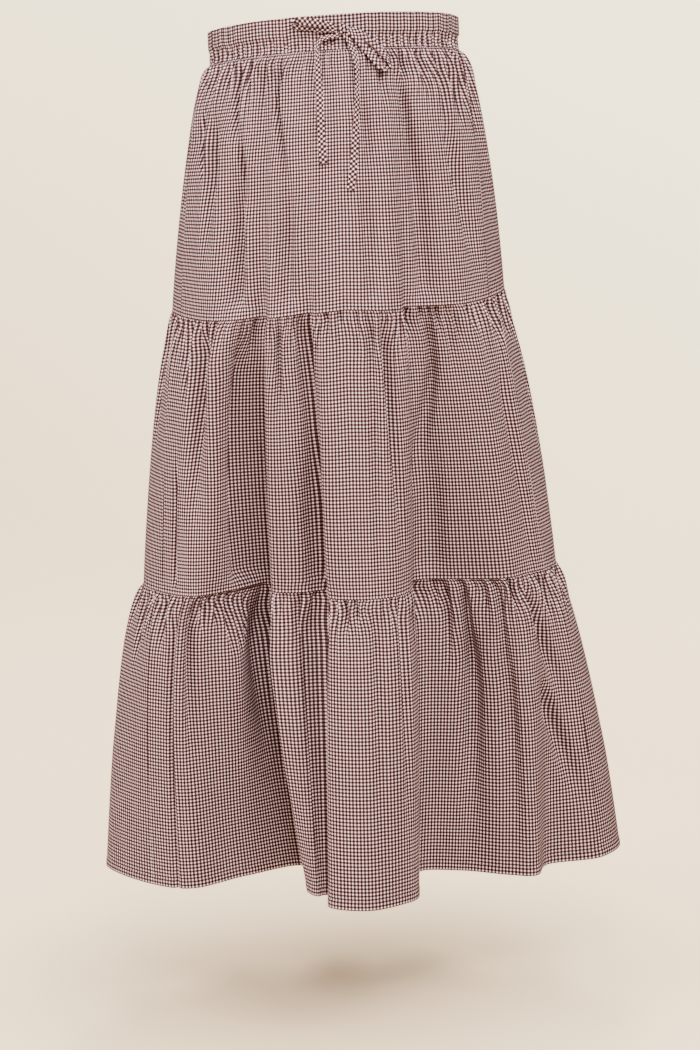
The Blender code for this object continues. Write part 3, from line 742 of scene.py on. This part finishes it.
def model_stitch():
    """One stitch of thread along +X, with its ends dipping down: its points and its faces."""
    bpy.ops.object.select_all(action="DESELECT")
    bpy.ops.mesh.primitive_uv_sphere_add(segments=6, ring_count=6, radius=STITCH_LENGTH / 2,
                                         rotation=(0, math.pi / 2, 0))
    bpy.ops.object.transform_apply(rotation=True)
    thread = bpy.context.active_object
    slim = STITCH_THICK / STITCH_LENGTH
    bpy.ops.object.mode_set(mode="EDIT")
    bpy.ops.mesh.select_all(action="SELECT")
    bpy.ops.transform.resize(value=(1.0, slim, slim))
    select_where(thread.data, "VERT", lambda point: abs(point.co.x) > STITCH_END * STITCH_LENGTH)
    bpy.ops.transform.translate(value=(0, 0, -STITCH_SINK))
    bpy.ops.object.mode_set(mode="OBJECT")
    points = np.array([tuple(point.co) for point in thread.data.vertices])
    faces = [tuple(face.vertices) for face in thread.data.polygons]
    bpy.data.objects.remove(thread)
    return points, faces


def sew(name, stitch, line, away, material, slot):
    """A row of stitches along a line on the cloth, given with its outward directions."""
    shape, shape_faces = stitch
    points, faces = [], []
    run = length_along(line)
    for at in np.arange(STITCH_PITCH, run[-1] - STITCH_PITCH, STITCH_PITCH):
        here, before, ahead, out = (
            np.array([np.interp(place, run, values) for values in grid.T])
            for place, grid in ((at, line), (at - STITCH_LENGTH / 2, line),
                                (at + STITCH_LENGTH / 2, line), (at, away)))
        along = units(ahead - before)
        up = units(out - along * np.dot(out, along))
        turn = np.stack([along, np.cross(up, along), up])
        faces += [tuple(len(points) * len(shape) + k for k in face) for face in shape_faces]
        points.append(here + shape @ turn)
    mesh = bpy.data.meshes.new(name)
    mesh.from_pydata(np.vstack(points).tolist(), [], faces)
    mesh.shade_smooth()
    outward_faces(mesh)
    return add_piece(name, mesh, material)


# ---------------------------------------------------------------- tiers
SHEET_THICK = 0.0008
GRID_PITCH = {True: 0.0017, False: 0.0025}     # between columns, on the front and on the back
TURNED_ROWS = (-0.0035, -0.0001)         # the turned-in edge of a tier, behind the piece above it
TURNED_IN = 0.0014       # how far in it lies

# Stretches of rows: how far down each starts, and how many rows it has. The last one's start is
# given up from the lower edge.
TIER_ROWS = ((0.0, 1), (0.0004, 2), (0.0014, 7), (0.014, 18), (0.070, 50))
HEM_ROWS = (0.013, 12)

TUCK = 0.0010            # how far a tier's upper edge lies in under the piece above it
TUCK_REACH = 0.0080
SEAM_REACH = 0.0016      # how far below its seam a valley has its full depth
EDGE_REACH = 0.0220      # how far above the next seam a valley starts to close
HEM_HEIGHT = 0.0100
HEM_STEP = 0.0005        # how far the doubled hem stands off the cloth above it
HEM_SOFT = 0.0006        # over what height it does so
HEM_GROOVE = 0.0006      # how deep its stitches pull it in, and over what height
HEM_GROOVE_REACH = 0.0010

# How much cloth lies in the built surface, as a share of what it measures: across, and down.
FULLNESS = {"tier_1": (1.10, 1.03), "tier_2": (1.04, 1.00), "tier_3": (0.99, 1.00)}

# How much of the solids' gathers is left beside the creases, on the front and on the back.
PUCKER_SHARE = {True: 0.35, False: 0.6}

# Small gathers right under a seam, closer than those of the solids, and the slight pull of the
# next seam on a tier's lower edge.
SMALL = dict(zip(VALLEY_COLUMNS, (0.0085, 0.26, 0.0100, 0.030, 1.4, 2.0, (0.2, 1.5))))
SMALL_SHARE = 2.4        # small gathers for each gather
SMALL_SEED = 300
PULL_DEPTH = 0.0008
PULL_REACH = 0.016
PULL_SEED = 500


def tier_drop(number):
    """The height of a tier, before its seams sag."""
    return HANG[number - 1]["height"] - HANG[number]["height"]


def rows_down(number):
    """How far down a tier each of its rows lies. The first tier's upper edge isn't turned in."""
    drop = tier_drop(number)
    stretches = (*TIER_ROWS, (drop - HEM_ROWS[0], HEM_ROWS[1]), (drop, 1))
    rows = [np.linspace(start, end, count, endpoint=False)
            for (start, count), (end, _) in zip(stretches, stretches[1:])]
    return np.concatenate([TURNED_ROWS if number > 1 else (), *rows, [drop]])


def hem_dip(up):
    """How far the doubled hem's step and its stitches' groove take the cloth in, `up` from its edge."""
    step = HEM_STEP / (1 + math.exp((up - HEM_HEIGHT) / HEM_SOFT))
    return HEM_GROOVE * math.exp(-((up - HEM_HEIGHT) / HEM_GROOVE_REACH) ** 2) - step


def panel_dips(number, is_front, columns):
    """Makes a function that gives, for how far down a panel's row lies, how far in its points lie
    from the tier's plain form, by gathers, creases, seams and the hem."""
    side = "front" if is_front else "back"
    count = TIERS[number - 1][f"{side}_gathers"]
    small_count = 2 * round(SMALL_SHARE * count / 2)
    seed = 10 * number + is_front
    phase = gather_phase(columns, count, seed)
    small_phase = gather_phase(columns, small_count, seed + SMALL_SEED)
    pulls = ripple(gather_phase(columns, small_count, seed + PULL_SEED))
    rng = np.random.RandomState(seed + SMALL_SEED)
    small_depth = drawn(rng, SMALL["range"], small_phase, small_count)
    small_fade = drawn(rng, FADE_RANGE, small_phase, small_count)
    along = columns * panel_run(number, MIDDLE, is_front)[-1]
    drop = tier_drop(number)

    def dips_at(down):
        up, below = drop - down, max(down, 0.0)
        plain = pucker(phase, below, count, seed + DEPTH_SEED) * PUCKER_SHARE[is_front]
        dips = (1 - (below / drop) ** 3) * plain
        dips += valley(SMALL, small_phase, below, small_depth, small_fade)
        dips += crease_depth(f"tier_{number}_{side}", along, below)
        dips *= ease(below / SEAM_REACH)
        dips += TUCK * math.exp(-(down / TUCK_REACH) ** 2) if down >= 0 else TURNED_IN
        if number == len(TIERS):
            return dips + hem_dip(up)
        pull = PULL_DEPTH * math.exp(-(up / PULL_REACH) ** 2) * ease(up / SEAM_REACH)
        return dips * ease(up / EDGE_REACH) + pull * pulls

    return dips_at


def tier_points(number, is_front):
    """The outer face of one panel of a tier: a grid of points."""
    widest = panel_run(number, BOTTOM, is_front)[-1]
    columns = np.linspace(0, 1, round(widest / GRID_PITCH[is_front]) + 1)
    dips_at = panel_dips(number, is_front, columns)
    grid = []
    for down in rows_down(number):
        share = max(down, 0.0) / tier_drop(number)
        line, away = panel_ring(number, share, is_front, columns)
        plan = line - away * dips_at(down)[:, None]
        for end, way in ((0, 1), (-1, -1)):
            plan[end] += np.array([-away[end, 1], away[end, 0]]) * way * SEAM_GAP / 2
        top, bottom = seam_height(number - 1, plan), seam_height(number, plan)
        height = top - SEAM_GAP / 2 - share * (top - bottom - SEAM_GAP) - min(down, 0.0)
        grid.append(np.column_stack([plan, height]))
    return np.array(grid)


def hem_line(points):
    """The line of the hem's stitches on a tier's outer face, and its outward directions."""
    run = length_along(points[:, 0])
    row = int(np.argmin(np.abs(run[-1] - run - HEM_HEIGHT)))
    line = points[row]
    along = np.gradient(line, axis=0)
    return line, units(np.column_stack([along[:, 1], -along[:, 0], np.zeros(len(line))]))


def make_tier(number, is_front, material, stitch, thread):
    tier = TIERS[number - 1]["name"]
    name = f"{tier}_front" if is_front else f"{tier}_back"
    points = tier_points(number, is_front)
    seam_row = len(TURNED_ROWS) if number > 1 else 0
    flat = laid_flat(points, FULLNESS[tier], seam_row)
    piece = add_piece(f"{name}_cloth", grid_mesh(name, points, flat), material)
    thicken(piece, SHEET_THICK)
    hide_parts(name)
    sewn = []
    if number == len(TIERS):
        sewn = [sew(f"{name}_hem_stitches", stitch, *hem_line(points), thread, "tier_cloth")]


# ---------------------------------------------------------------- waistband
BAND_PITCH = 0.0016      # between its columns
BAND_ROWS = 26
BAND_THICK = 0.0024
BAND_INSIDE = 0.0012     # how much further in its inner face lies
BAND_FOLD_STEPS = 5
BAND_FULLNESS = (0.90, 1.10)     # of the check, across and up
BAND_SHIFT = 0.0001      # of the check, up the band
BAND_WOBBLE = 0.0010     # how far the crinkles push the rows of the check up and down
BAND_SEED = 71

# Crinkles: how many on the front and on the back, each one's share of the depth over and under the
# row of sewing, and how narrow they are. Those under it are drawn anew, and blend into the others.
BAND_CRINKLES = {True: 36, False: 56}
UPPER_RANGE = (0.1, 1.6)
LOWER_RANGE = (0.2, 1.6)
LOWER_SEED = 5
CRINKLE_NARROW = 1.5
CRINKLE_BLEND = 0.002
STITCH_GROOVE = 0.0010   # how deep the row of sewing pulls in, and over what height
STITCH_GROOVE_REACH = 0.0013

# Up the band: how deep its crinkles are there, in metres.
CRINKLE_COLUMNS = ("rise", "depth")
CRINKLE_DEPTHS = dict(zip(CRINKLE_COLUMNS, zip(
    (0.000, 0.0012),
    (0.003, 0.0030),
    (0.007, 0.0044),
    (0.015, 0.0028),
    (0.020, 0.0012),
    (0.032, 0.0010),
    (0.038, 0.0014),
)))

# Small uneven crumples under the elastic: their size across and up, their depth, how far up from the
# seam they are whole, and how far under the row of sewing, and how softly, they end.
RUMPLE_PITCH = (0.0046, 0.0042)
RUMPLE_DEPTH = 0.0028
RUMPLE_RISE = 0.004
RUMPLE_END = 0.001
RUMPLE_BLEND = 0.0012


def rumples(width, columns, rises, rng):
    """Small uneven crumples of the band under its elastic: a depth for each ring and column."""
    across = np.arange(0, width + 2 * RUMPLE_PITCH[0], RUMPLE_PITCH[0])
    up = np.arange(0, BAND_HEIGHT + 2 * RUMPLE_PITCH[1], RUMPLE_PITCH[1])
    coarse = rng.uniform(0, 1, (len(up), len(across)))
    rows = np.array([np.interp(columns * width, across, row) for row in coarse])
    fine = np.array([np.interp(rises, up, column) for column in rows.T]).T
    under = 1 / (1 + np.exp((rises - BAND_STITCH + RUMPLE_END) / RUMPLE_BLEND))
    return RUMPLE_DEPTH * (under * np.minimum(1.0, rises / RUMPLE_RISE))[:, None] * fine


def band_dips(is_front, length, columns, rises):
    """How far the band's outer face lies in, at each rise and column, and how far its crinkles push
    the rows of the check up, at each column."""
    count = BAND_CRINKLES[is_front]
    seed = BAND_SEED + is_front
    rng = np.random.RandomState(seed)
    upper, lower = (gather_phase(columns, count, seed + extra) for extra in (0, LOWER_SEED))
    upper_depth = drawn(rng, UPPER_RANGE, upper, count)
    lower_depth = drawn(rng, LOWER_RANGE, lower, count)
    row_shift = BAND_WOBBLE * drawn(rng, (-1.0, 1.0), upper, count)
    over = upper_depth * ripple(upper) ** CRINKLE_NARROW
    under = lower_depth * ripple(lower) ** CRINKLE_NARROW
    dips = []
    for rise, rumple in zip(rises, rumples(length, columns, rises, rng)):
        depth = np.interp(rise, CRINKLE_DEPTHS["rise"], CRINKLE_DEPTHS["depth"])
        share = 1 / (1 + math.exp((rise - BAND_STITCH) / CRINKLE_BLEND))
        groove = STITCH_GROOVE * math.exp(-((rise - BAND_STITCH) / STITCH_GROOVE_REACH) ** 2)
        dips.append(depth * ((1 - share) * over + share * under) + rumple + groove)
    return dips, row_shift


def band_rings(plan, away, rises, dips):
    """The band's section at each column: up its outer face, over the fold and down its inner face."""
    radius = BAND_THICK / 2
    rows = list(zip(dips, rises))
    for step in range(1, BAND_FOLD_STEPS + 1):
        turn = math.pi * step / (BAND_FOLD_STEPS + 1)
        rows.append((dips[-1] + radius - radius * math.cos(turn), rises[-1] + radius * math.sin(turn)))
    rows += [(np.full(len(plan), BAND_THICK + BAND_INSIDE), rise) for rise in rises[::-2]]
    base = seam_height(0, plan)
    sections = [np.column_stack([plan - away * inward[:, None], base + rise]) for inward, rise in rows]
    return np.array(sections).transpose(1, 0, 2)


def band_pattern(rings, row_shift):
    """The band's cloth laid flat, in metres: along it, and round its section from the seam up."""
    around = np.concatenate([rings, rings[:, :1]], axis=1)
    steps = np.linalg.norm(np.diff(around, axis=1), axis=2).mean(axis=0)
    pattern = np.empty((*around.shape[:2], 2))
    pattern[:, :, 0] = BAND_FULLNESS[0] * length_along(rings[:, BAND_ROWS // 2])[:, None]
    pattern[:, :, 1] = BAND_FULLNESS[1] * np.concatenate([[0.0], np.cumsum(steps)])
    pattern[:, :, 1] += BAND_SHIFT + row_shift[:, None]
    return pattern


def make_band(is_front, material, stitch, thread):
    side = "front" if is_front else "back"
    length = panel_run(1, TOP, is_front)[-1]
    columns = np.linspace(0, 1, round(length / BAND_PITCH) + 1)
    plan, away = panel_ring(1, TOP, is_front, columns)
    rises = np.linspace(SEAM_GAP / 2, BAND_HEIGHT - BAND_THICK / 2, BAND_ROWS)
    dips, row_shift = band_dips(is_front, length, columns, rises)
    rings = band_rings(plan, away, rises, dips)
    mesh = tube_mesh(f"waistband_{side}", rings, band_pattern(rings, row_shift))
    piece = add_piece(f"waistband_{side}_cloth", mesh, material)
    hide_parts(f"waistband_{side}")
    sewn_row = int(np.argmin(np.abs(rises - BAND_STITCH)))
    sewn = sew(f"waistband_{side}_stitches", stitch, rings[:, sewn_row],
               np.column_stack([away, np.zeros(len(away))]), thread, "waistband_cloth")


# ---------------------------------------------------------------- shader nodes
def feed(tree, socket, value):
    """Gives an input a plain value, or links it to another node's output."""
    if isinstance(value, (int, float, tuple)):
        socket.default_value = value
    else:
        tree.links.new(value, socket)


def math_node(tree, operation, *values):
    node = tree.nodes.new("ShaderNodeMath")
    node.operation = operation
    for socket, value in zip(node.inputs, values):
        feed(tree, socket, value)
    return node.outputs[0]


def vector_node(tree, operation, first, second):
    """Two vectors worked on, or for SCALE a vector and a number. DOT_PRODUCT puts out a number."""
    node = tree.nodes.new("ShaderNodeVectorMath")
    node.operation = operation
    feed(tree, node.inputs[0], first)
    feed(tree, node.inputs["Scale"] if operation == "SCALE" else node.inputs[1], second)
    return node.outputs["Value" if operation == "DOT_PRODUCT" else "Vector"]


def mix_node(tree, kind, factor, first, second):
    """A mix of two numbers (FLOAT) or colours (RGBA)."""
    node = tree.nodes.new("ShaderNodeMix")
    node.data_type = kind
    places = {"FLOAT": (0, 2, 3), "RGBA": (0, 6, 7)}[kind]
    for place, value in zip(places, (factor, first, second)):
        feed(tree, node.inputs[place], value)
    return node.outputs[{"FLOAT": 0, "RGBA": 2}[kind]]


def noise(tree, vector, scale, detail):
    node = tree.nodes.new("ShaderNodeTexNoise")
    feed(tree, node.inputs["Vector"], vector)
    node.inputs["Scale"].default_value = scale
    node.inputs["Detail"].default_value = detail
    return node.outputs[0]


def new_group(name, inputs, outputs):
    """A node group, with its sockets by name and kind: its tree, what it is given and puts out."""
    group = bpy.data.node_groups.new(name, "ShaderNodeTree")
    for way, sockets in (("INPUT", inputs), ("OUTPUT", outputs)):
        for socket, kind in sockets.items():
            group.interface.new_socket(name=socket, in_out=way, socket_type=f"NodeSocket{kind}")
    return group, group.nodes.new("NodeGroupInput").outputs, group.nodes.new("NodeGroupOutput").inputs


def place_group(tree, name, values):
    """A node group in a material, with its inputs by name: its outputs."""
    node = tree.nodes.new("ShaderNodeGroup")
    node.node_tree = bpy.data.node_groups[name]
    for socket, value in values.items():
        feed(tree, node.inputs[socket], value)
    return node.outputs


def new_material(name, specular):
    """A material, its node tree and its shader's inputs."""
    material = bpy.data.materials.new(name)
    material.use_nodes = True
    shader = material.node_tree.nodes["Principled BSDF"].inputs
    shader["Specular IOR Level"].default_value = specular
    return material, material.node_tree, shader


def tone_and_bump(tree, shader, colour, crumple, height):
    """Feeds a shader its base colour, with the crumple's tone, and a bump of a height in metres."""
    feed(tree, shader["Base Color"], vector_node(tree, "SCALE", colour, crumple["Tone"]))
    bump = tree.nodes.new("ShaderNodeBump")
    bump.inputs["Distance"].default_value = 1.0
    bump.inputs["Strength"].default_value = 1.0
    feed(tree, bump.inputs["Height"], height)
    feed(tree, shader["Normal"], bump.outputs[0])


# ---------------------------------------------------------------- finishes
YARN = 0.00026           # from one yarn to the next
SQUARE_ACROSS = 0.96     # a square's width as a share of its height
DARK_COLUMN = 0.60       # of a repeat of the check across, that is dark yarn
DARK_ROW = 0.57          # of a repeat down
SPECKLE = 0.10           # how much a yarn shows through where it runs under the other
YARN_RGB = {
    "Dark": (0.025, 0.0070, 0.0065),
    "Column": (0.085, 0.035, 0.034),     # where a dark column crosses a light row
    "Row": (0.125, 0.055, 0.052),        # where a dark row crosses a light column
    "Light": (1.000, 0.730, 0.735),
}
YARN_GRAIN = 60.0        # steps in the noise for each metre along a yarn
YARN_APART = 7.31        # steps in the noise from one yarn to the next
WARP_LAYER = 1.7         # where in the noise the yarns of each way lie
WEFT_LAYER = 8.3
YARN_TONES = 0.14        # how much darker a yarn is in places
CROWN_PAINTED_LIGHT = 0.16        # how much lighter its crown is painted, where it bows out between two others: painted shade in the dips between the yarns
CROWN_HEIGHT = 0.00005
CLOTH_ROUGHNESS = 0.94
CROWN_GLOSS = 0.10       # how much less rough its crown is

CRUMPLE_STRETCH = (1.0, 0.35, 1.0)       # the broad crumples are longer along the warp
CRUMPLE_BROAD = (70.0, 1.0)              # scale and detail of the noise
CRUMPLE_FINE = (330.0, 1.0)
CRUMPLE_FINE_SHARE = 0.30
TONE_NOISE = (14.0, 2.0)                 # scale and detail too
TONE_CHANGE = 0.10

CLOTH_SPECULAR = 0.06
CLOTH_COLUMNS = ("name", "turn", "crumple", "tint")      # turn is the check's on the cloth, in degrees; the last column scales its yarn colours, painted light that lifts the ties' check against the shade that falls on them
CLOTHS = {row[0]: dict(zip(CLOTH_COLUMNS, row)) for row in (
    ("tier check", 0, 0.00035, 1.0),
    ("waistband check", 0, 0.00045, 1.0),
    # The ties' check: its yarns painted lighter, painted light against the shade on the ties.
    ("bias check", 45, 0.00020, 1.05),
)}

THREAD_RGB = (0.075, 0.030, 0.026)
THREAD_SPECULAR = 0.2
THREAD_ROUGHNESS = 0.6
THREAD_CRUMPLE = 0.0001


def yarn_grain(tree, x, y, layer):
    """The unevenness of the yarns of one way, each yarn at its own place in a noise."""
    place = tree.nodes.new("ShaderNodeCombineXYZ")
    for socket, value in zip(place.inputs, (x, y, layer)):
        feed(tree, socket, value)
    return noise(tree, place.outputs[0], 1.0, 1.0)


def check_group():
    """A plain-woven check: stripes of dark and light yarn both ways, and each yarn's crown, painted
    lighter than the dips between the yarns as painted shade.
    """
    group, given, put = new_group(
        "woven check",
        {"Cloth": "Vector", "Square": "Float", "Yarn": "Float", "Dark": "Color", "Column": "Color",
         "Row": "Color", "Light": "Color", "Speckle": "Float"},
        {"Color": "Color", "Roughness": "Float", "Height": "Float"})

    def work(operation, *values):
        return math_node(group, operation, *values)

    split = group.nodes.new("ShaderNodeSeparateXYZ")
    feed(group, split.inputs[0], given["Cloth"])
    u, v = split.outputs[0], split.outputs[1]
    repeat = work("MULTIPLY", given["Square"], 2.0)
    stripes, yarns, crowns = [], [], []
    for way, share, dark in ((u, SQUARE_ACROSS, DARK_COLUMN), (v, 1.0, DARK_ROW)):
        place = work("FRACT", work("DIVIDE", way, work("MULTIPLY", repeat, share)))
        stripes.append(work("GREATER_THAN", place, dark))
        count = work("DIVIDE", way, given["Yarn"])
        yarns.append(work("FLOOR", count))
        crowns.append(work("SINE", work("MULTIPLY", work("FRACT", count), math.pi)))
    odd = work("FRACT", work("MULTIPLY", work("ADD", yarns[0], yarns[1]), 0.5))
    warp_on_top = work("GREATER_THAN", odd, 0.25)
    weft_on_top = work("SUBTRACT", 1.0, warp_on_top)
    column = mix_node(group, "FLOAT", work("MULTIPLY", given["Speckle"], weft_on_top), *stripes)
    row = mix_node(group, "FLOAT", work("MULTIPLY", given["Speckle"], warp_on_top), *stripes[::-1])
    warp_grain = yarn_grain(group, work("MULTIPLY", yarns[0], YARN_APART),
                            work("MULTIPLY", v, YARN_GRAIN), WARP_LAYER)
    weft_grain = yarn_grain(group, work("MULTIPLY", u, YARN_GRAIN),
                            work("MULTIPLY", yarns[1], YARN_APART), WEFT_LAYER)
    grain = mix_node(group, "FLOAT", warp_on_top, weft_grain, warp_grain)
    crown = work("MULTIPLY", crowns[0], crowns[1])
    # Each yarn's own uneven tone, then its crown painted lighter: painted shade between the yarns.
    shade = work("ADD", work("MULTIPLY", grain, YARN_TONES), 1.0 - YARN_TONES)
    shade = work("ADD", shade, work("MULTIPLY", crown, CROWN_PAINTED_LIGHT))
    dark_column = mix_node(group, "RGBA", row, given["Dark"], given["Column"])
    light_column = mix_node(group, "RGBA", row, given["Row"], given["Light"])
    colour = mix_node(group, "RGBA", column, dark_column, light_column)
    feed(group, put["Color"], vector_node(group, "SCALE", colour, shade))
    feed(group, put["Roughness"], work("SUBTRACT", CLOTH_ROUGHNESS, work("MULTIPLY", crown, CROWN_GLOSS)))
    feed(group, put["Height"], work("MULTIPLY", crown, CROWN_HEIGHT))


def crumple_group():
    """Soft small unevenness of washed cotton, longer along the warp, and a faint change of tone."""
    group, given, put = new_group("soft crumple", {"Cloth": "Vector", "Depth": "Float"},
                                  {"Height": "Float", "Tone": "Float"})
    stretched = vector_node(group, "MULTIPLY", given["Cloth"], CRUMPLE_STRETCH)
    broad = noise(group, stretched, *CRUMPLE_BROAD)
    fine = math_node(group, "MULTIPLY", noise(group, given["Cloth"], *CRUMPLE_FINE), CRUMPLE_FINE_SHARE)
    both = math_node(group, "ADD", broad, fine)
    feed(group, put["Height"], math_node(group, "MULTIPLY", both, given["Depth"]))
    tone = math_node(group, "MULTIPLY", noise(group, given["Cloth"], *TONE_NOISE), TONE_CHANGE)
    feed(group, put["Tone"], math_node(group, "ADD", tone, 1.0 - TONE_CHANGE / 2))


def cloth_material(name):
    """Check cotton, its check turned on the cloth for a piece cut on the bias."""
    cloth = CLOTHS[name]
    material, tree, shader = new_material(name, CLOTH_SPECULAR)
    laid = tree.nodes.new("ShaderNodeUVMap")
    laid.uv_map = "cloth"
    mapping = tree.nodes.new("ShaderNodeMapping")
    mapping.inputs["Rotation"].default_value = (0.0, 0.0, math.radians(cloth["turn"]))
    feed(tree, mapping.inputs["Vector"], laid.outputs[0])
    # Yarn colours scaled up on the ties: painted light against the shade on them.
    yarns = {yarn: (*(part * cloth["tint"] for part in rgb), 1.0) for yarn, rgb in YARN_RGB.items()}
    check = place_group(tree, "woven check", {
        "Cloth": mapping.outputs[0], "Square": SQUARE, "Yarn": YARN, "Speckle": SPECKLE, **yarns})
    crumple = place_group(tree, "soft crumple", {
        "Cloth": mapping.outputs[0], "Depth": cloth["crumple"]})
    feed(tree, shader["Roughness"], check["Roughness"])
    height = math_node(tree, "ADD", check["Height"], crumple["Height"])
    tone_and_bump(tree, shader, check["Color"], crumple, height)
    return material


def thread_material():
    """Sewing thread, a little uneven along its length."""
    material, tree, shader = new_material("sewing thread", THREAD_SPECULAR)
    shader["Roughness"].default_value = THREAD_ROUGHNESS
    place = tree.nodes.new("ShaderNodeTexCoord").outputs["Object"]
    crumple = place_group(tree, "soft crumple", {"Cloth": place, "Depth": THREAD_CRUMPLE})
    tone_and_bump(tree, shader, THREAD_RGB, crumple, crumple["Height"])
    return material


# ---------------------------------------------------------------- studio
FLOOR_HEIGHT = -1.100
FLOOR_REACH = 7.0
WALL_AT = 5.0
WALL_HEIGHT = 5.0
WALL_BEND = 2.0
WALL_BEND_STEPS = 24
FLOOR_RGB = (0.44, 0.32, 0.20, 1.0)      # as it throws light on the skirt
FLOOR_ROUGHNESS = 0.95
FLOOR_SPECULAR = 0.1

# As the camera sees it, the paper glows, and the glow turns from the floor's into the brighter wall's on
# the way up, right and back: painted light.
FLOOR_PALE = (1.0, 0.77, 0.46, 1.0)
WALL_PALE = (1.46, 1.27, 0.81, 1.0)
FLOOR_GLOW = 2.45
PALE_ALONG = (0.6, 0.25, 1.0)
PALE_FROM = -0.55
PALE_SPAN = 2.6
SHADE_RGB = (0.17, 0.115, 0.070, 1.0)    # of the floor's soft painted shadow under the hem
SHADE_AT = (-0.06, 0.02, 0.0)
SHADE_REACH = (0.36, 0.30, 1000.0)

# Round lights: where each is and points to, its width in metres and its power in watts.
LIGHT_RGB = (1.0, 0.985, 0.975)
LIGHT_COLUMNS = ("name", "at", "to", "size", "power")
LIGHTS = [dict(zip(LIGHT_COLUMNS, row)) for row in (
    ("key", (1.25, -1.9, 1.50), (0.0, 0.0, -0.30), 1.4, 106.0),
    ("front", (0.1, -2.6, 1.2), (0.0, 0.0, -0.40), 1.0, 127.0),
    ("back", (0.3, 2.6, 2.0), (0.0, 0.0, -0.40), 1.2, 190.0),
    ("window", (-2.6, -1.2, 0.6), (0.0, 0.0, -0.40), 1.2, 108.0),
)]
WORLD_RGB = (1.0, 0.975, 0.940, 1.0)
WORLD_STRENGTH = 0.12


def paper_material():
    """Studio paper that glows for the camera, brighter up, right and back, as painted light, with a
    painted shadow under the skirt.
    """
    material, tree, shader = new_material("studio paper", FLOOR_SPECULAR)
    shader["Base Color"].default_value = FLOOR_RGB
    shader["Roughness"].default_value = FLOOR_ROUGHNESS
    place = tree.nodes.new("ShaderNodeNewGeometry").outputs["Position"]
    # Painted light: the paper's glow grows brighter up, right and back.
    along = tree.nodes.new("ShaderNodeMapRange")
    along.inputs["From Min"].default_value = PALE_FROM
    along.inputs["From Max"].default_value = PALE_FROM + PALE_SPAN
    feed(tree, along.inputs["Value"], vector_node(tree, "DOT_PRODUCT", place, PALE_ALONG))
    pale = mix_node(tree, "RGBA", along.outputs[0], FLOOR_PALE, WALL_PALE)
    # A painted shadow under the hem: the glow darkens towards SHADE_RGB round SHADE_AT.
    away = vector_node(tree, "SUBTRACT", place, SHADE_AT)
    spread = vector_node(tree, "DIVIDE", away, SHADE_REACH)
    reach = math_node(tree, "MULTIPLY", vector_node(tree, "DOT_PRODUCT", spread, spread), -1.0)
    shade = math_node(tree, "EXPONENT", reach)
    feed(tree, shader["Emission Color"], mix_node(tree, "RGBA", shade, pale, SHADE_RGB))
    seen = tree.nodes.new("ShaderNodeLightPath").outputs["Is Camera Ray"]
    feed(tree, shader["Emission Strength"], math_node(tree, "MULTIPLY", seen, FLOOR_GLOW))
    return material


def make_backdrop():
    """A floor that bends up into a wall."""
    bpy.ops.object.select_all(action="DESELECT")
    bpy.ops.mesh.primitive_plane_add(size=2 * FLOOR_REACH,
                                     location=(0, WALL_AT - FLOOR_REACH, FLOOR_HEIGHT))
    backdrop = bpy.context.active_object
    backdrop.name = "backdrop"
    mesh = backdrop.data

    def ends(edge):
        return [mesh.vertices[v].co for v in edge.vertices]

    select_where(mesh, "EDGE", lambda edge: all(end.y > 0 for end in ends(edge)))
    bpy.ops.mesh.extrude_region_move(TRANSFORM_OT_translate={"value": (0, 0, WALL_HEIGHT)})
    select_where(mesh, "EDGE", lambda edge: all(end.y > 0 and end.z < WALL_BEND for end in ends(edge)))
    bpy.ops.mesh.bevel(offset=WALL_BEND, segments=WALL_BEND_STEPS)
    bpy.ops.object.mode_set(mode="OBJECT")
    bpy.ops.object.transform_apply(location=True, rotation=True, scale=True)
    bpy.ops.object.shade_smooth()
    mesh.materials.append(paper_material())


def make_lights():
    for row in LIGHTS:
        data = bpy.data.lights.new(row["name"], "AREA")
        data.shape = "DISK"
        data.size = row["size"]
        data.energy = row["power"]
        data.color = LIGHT_RGB
        light = bpy.data.objects.new(row["name"], data)
        light.location = row["at"]
        aim = Vector(row["to"]) - Vector(row["at"])
        light.rotation_euler = aim.to_track_quat("-Z", "Y").to_euler()
        bpy.context.scene.collection.objects.link(light)


def make_world():
    """Soft light from all round. Past the paper's edge the camera sees the floor's tone."""
    world = bpy.data.worlds.new("studio")
    world.use_nodes = True
    tree = world.node_tree
    seen = tree.nodes.new("ShaderNodeLightPath").outputs["Is Camera Ray"]
    background = tree.nodes["Background"].inputs
    feed(tree, background["Color"], mix_node(tree, "RGBA", seen, WORLD_RGB, FLOOR_PALE))
    feed(tree, background["Strength"], mix_node(tree, "FLOAT", seen, WORLD_STRENGTH, FLOOR_GLOW))
    bpy.context.scene.world = world


def main():
    place_camera()
    check_group()
    crumple_group()
    tier_cloth, band_cloth, tie_cloth = (cloth_material(name) for name in CLOTHS)
    thread = thread_material()
    stitch = model_stitch()
    make_bow(tie_cloth)
    for is_front in (True, False):
        make_band(is_front, band_cloth, stitch, thread)
        for number in (1, 2, 3):
            make_tier(number, is_front, tier_cloth, stitch, thread)
    make_backdrop()
    make_lights()
    make_world()


main()
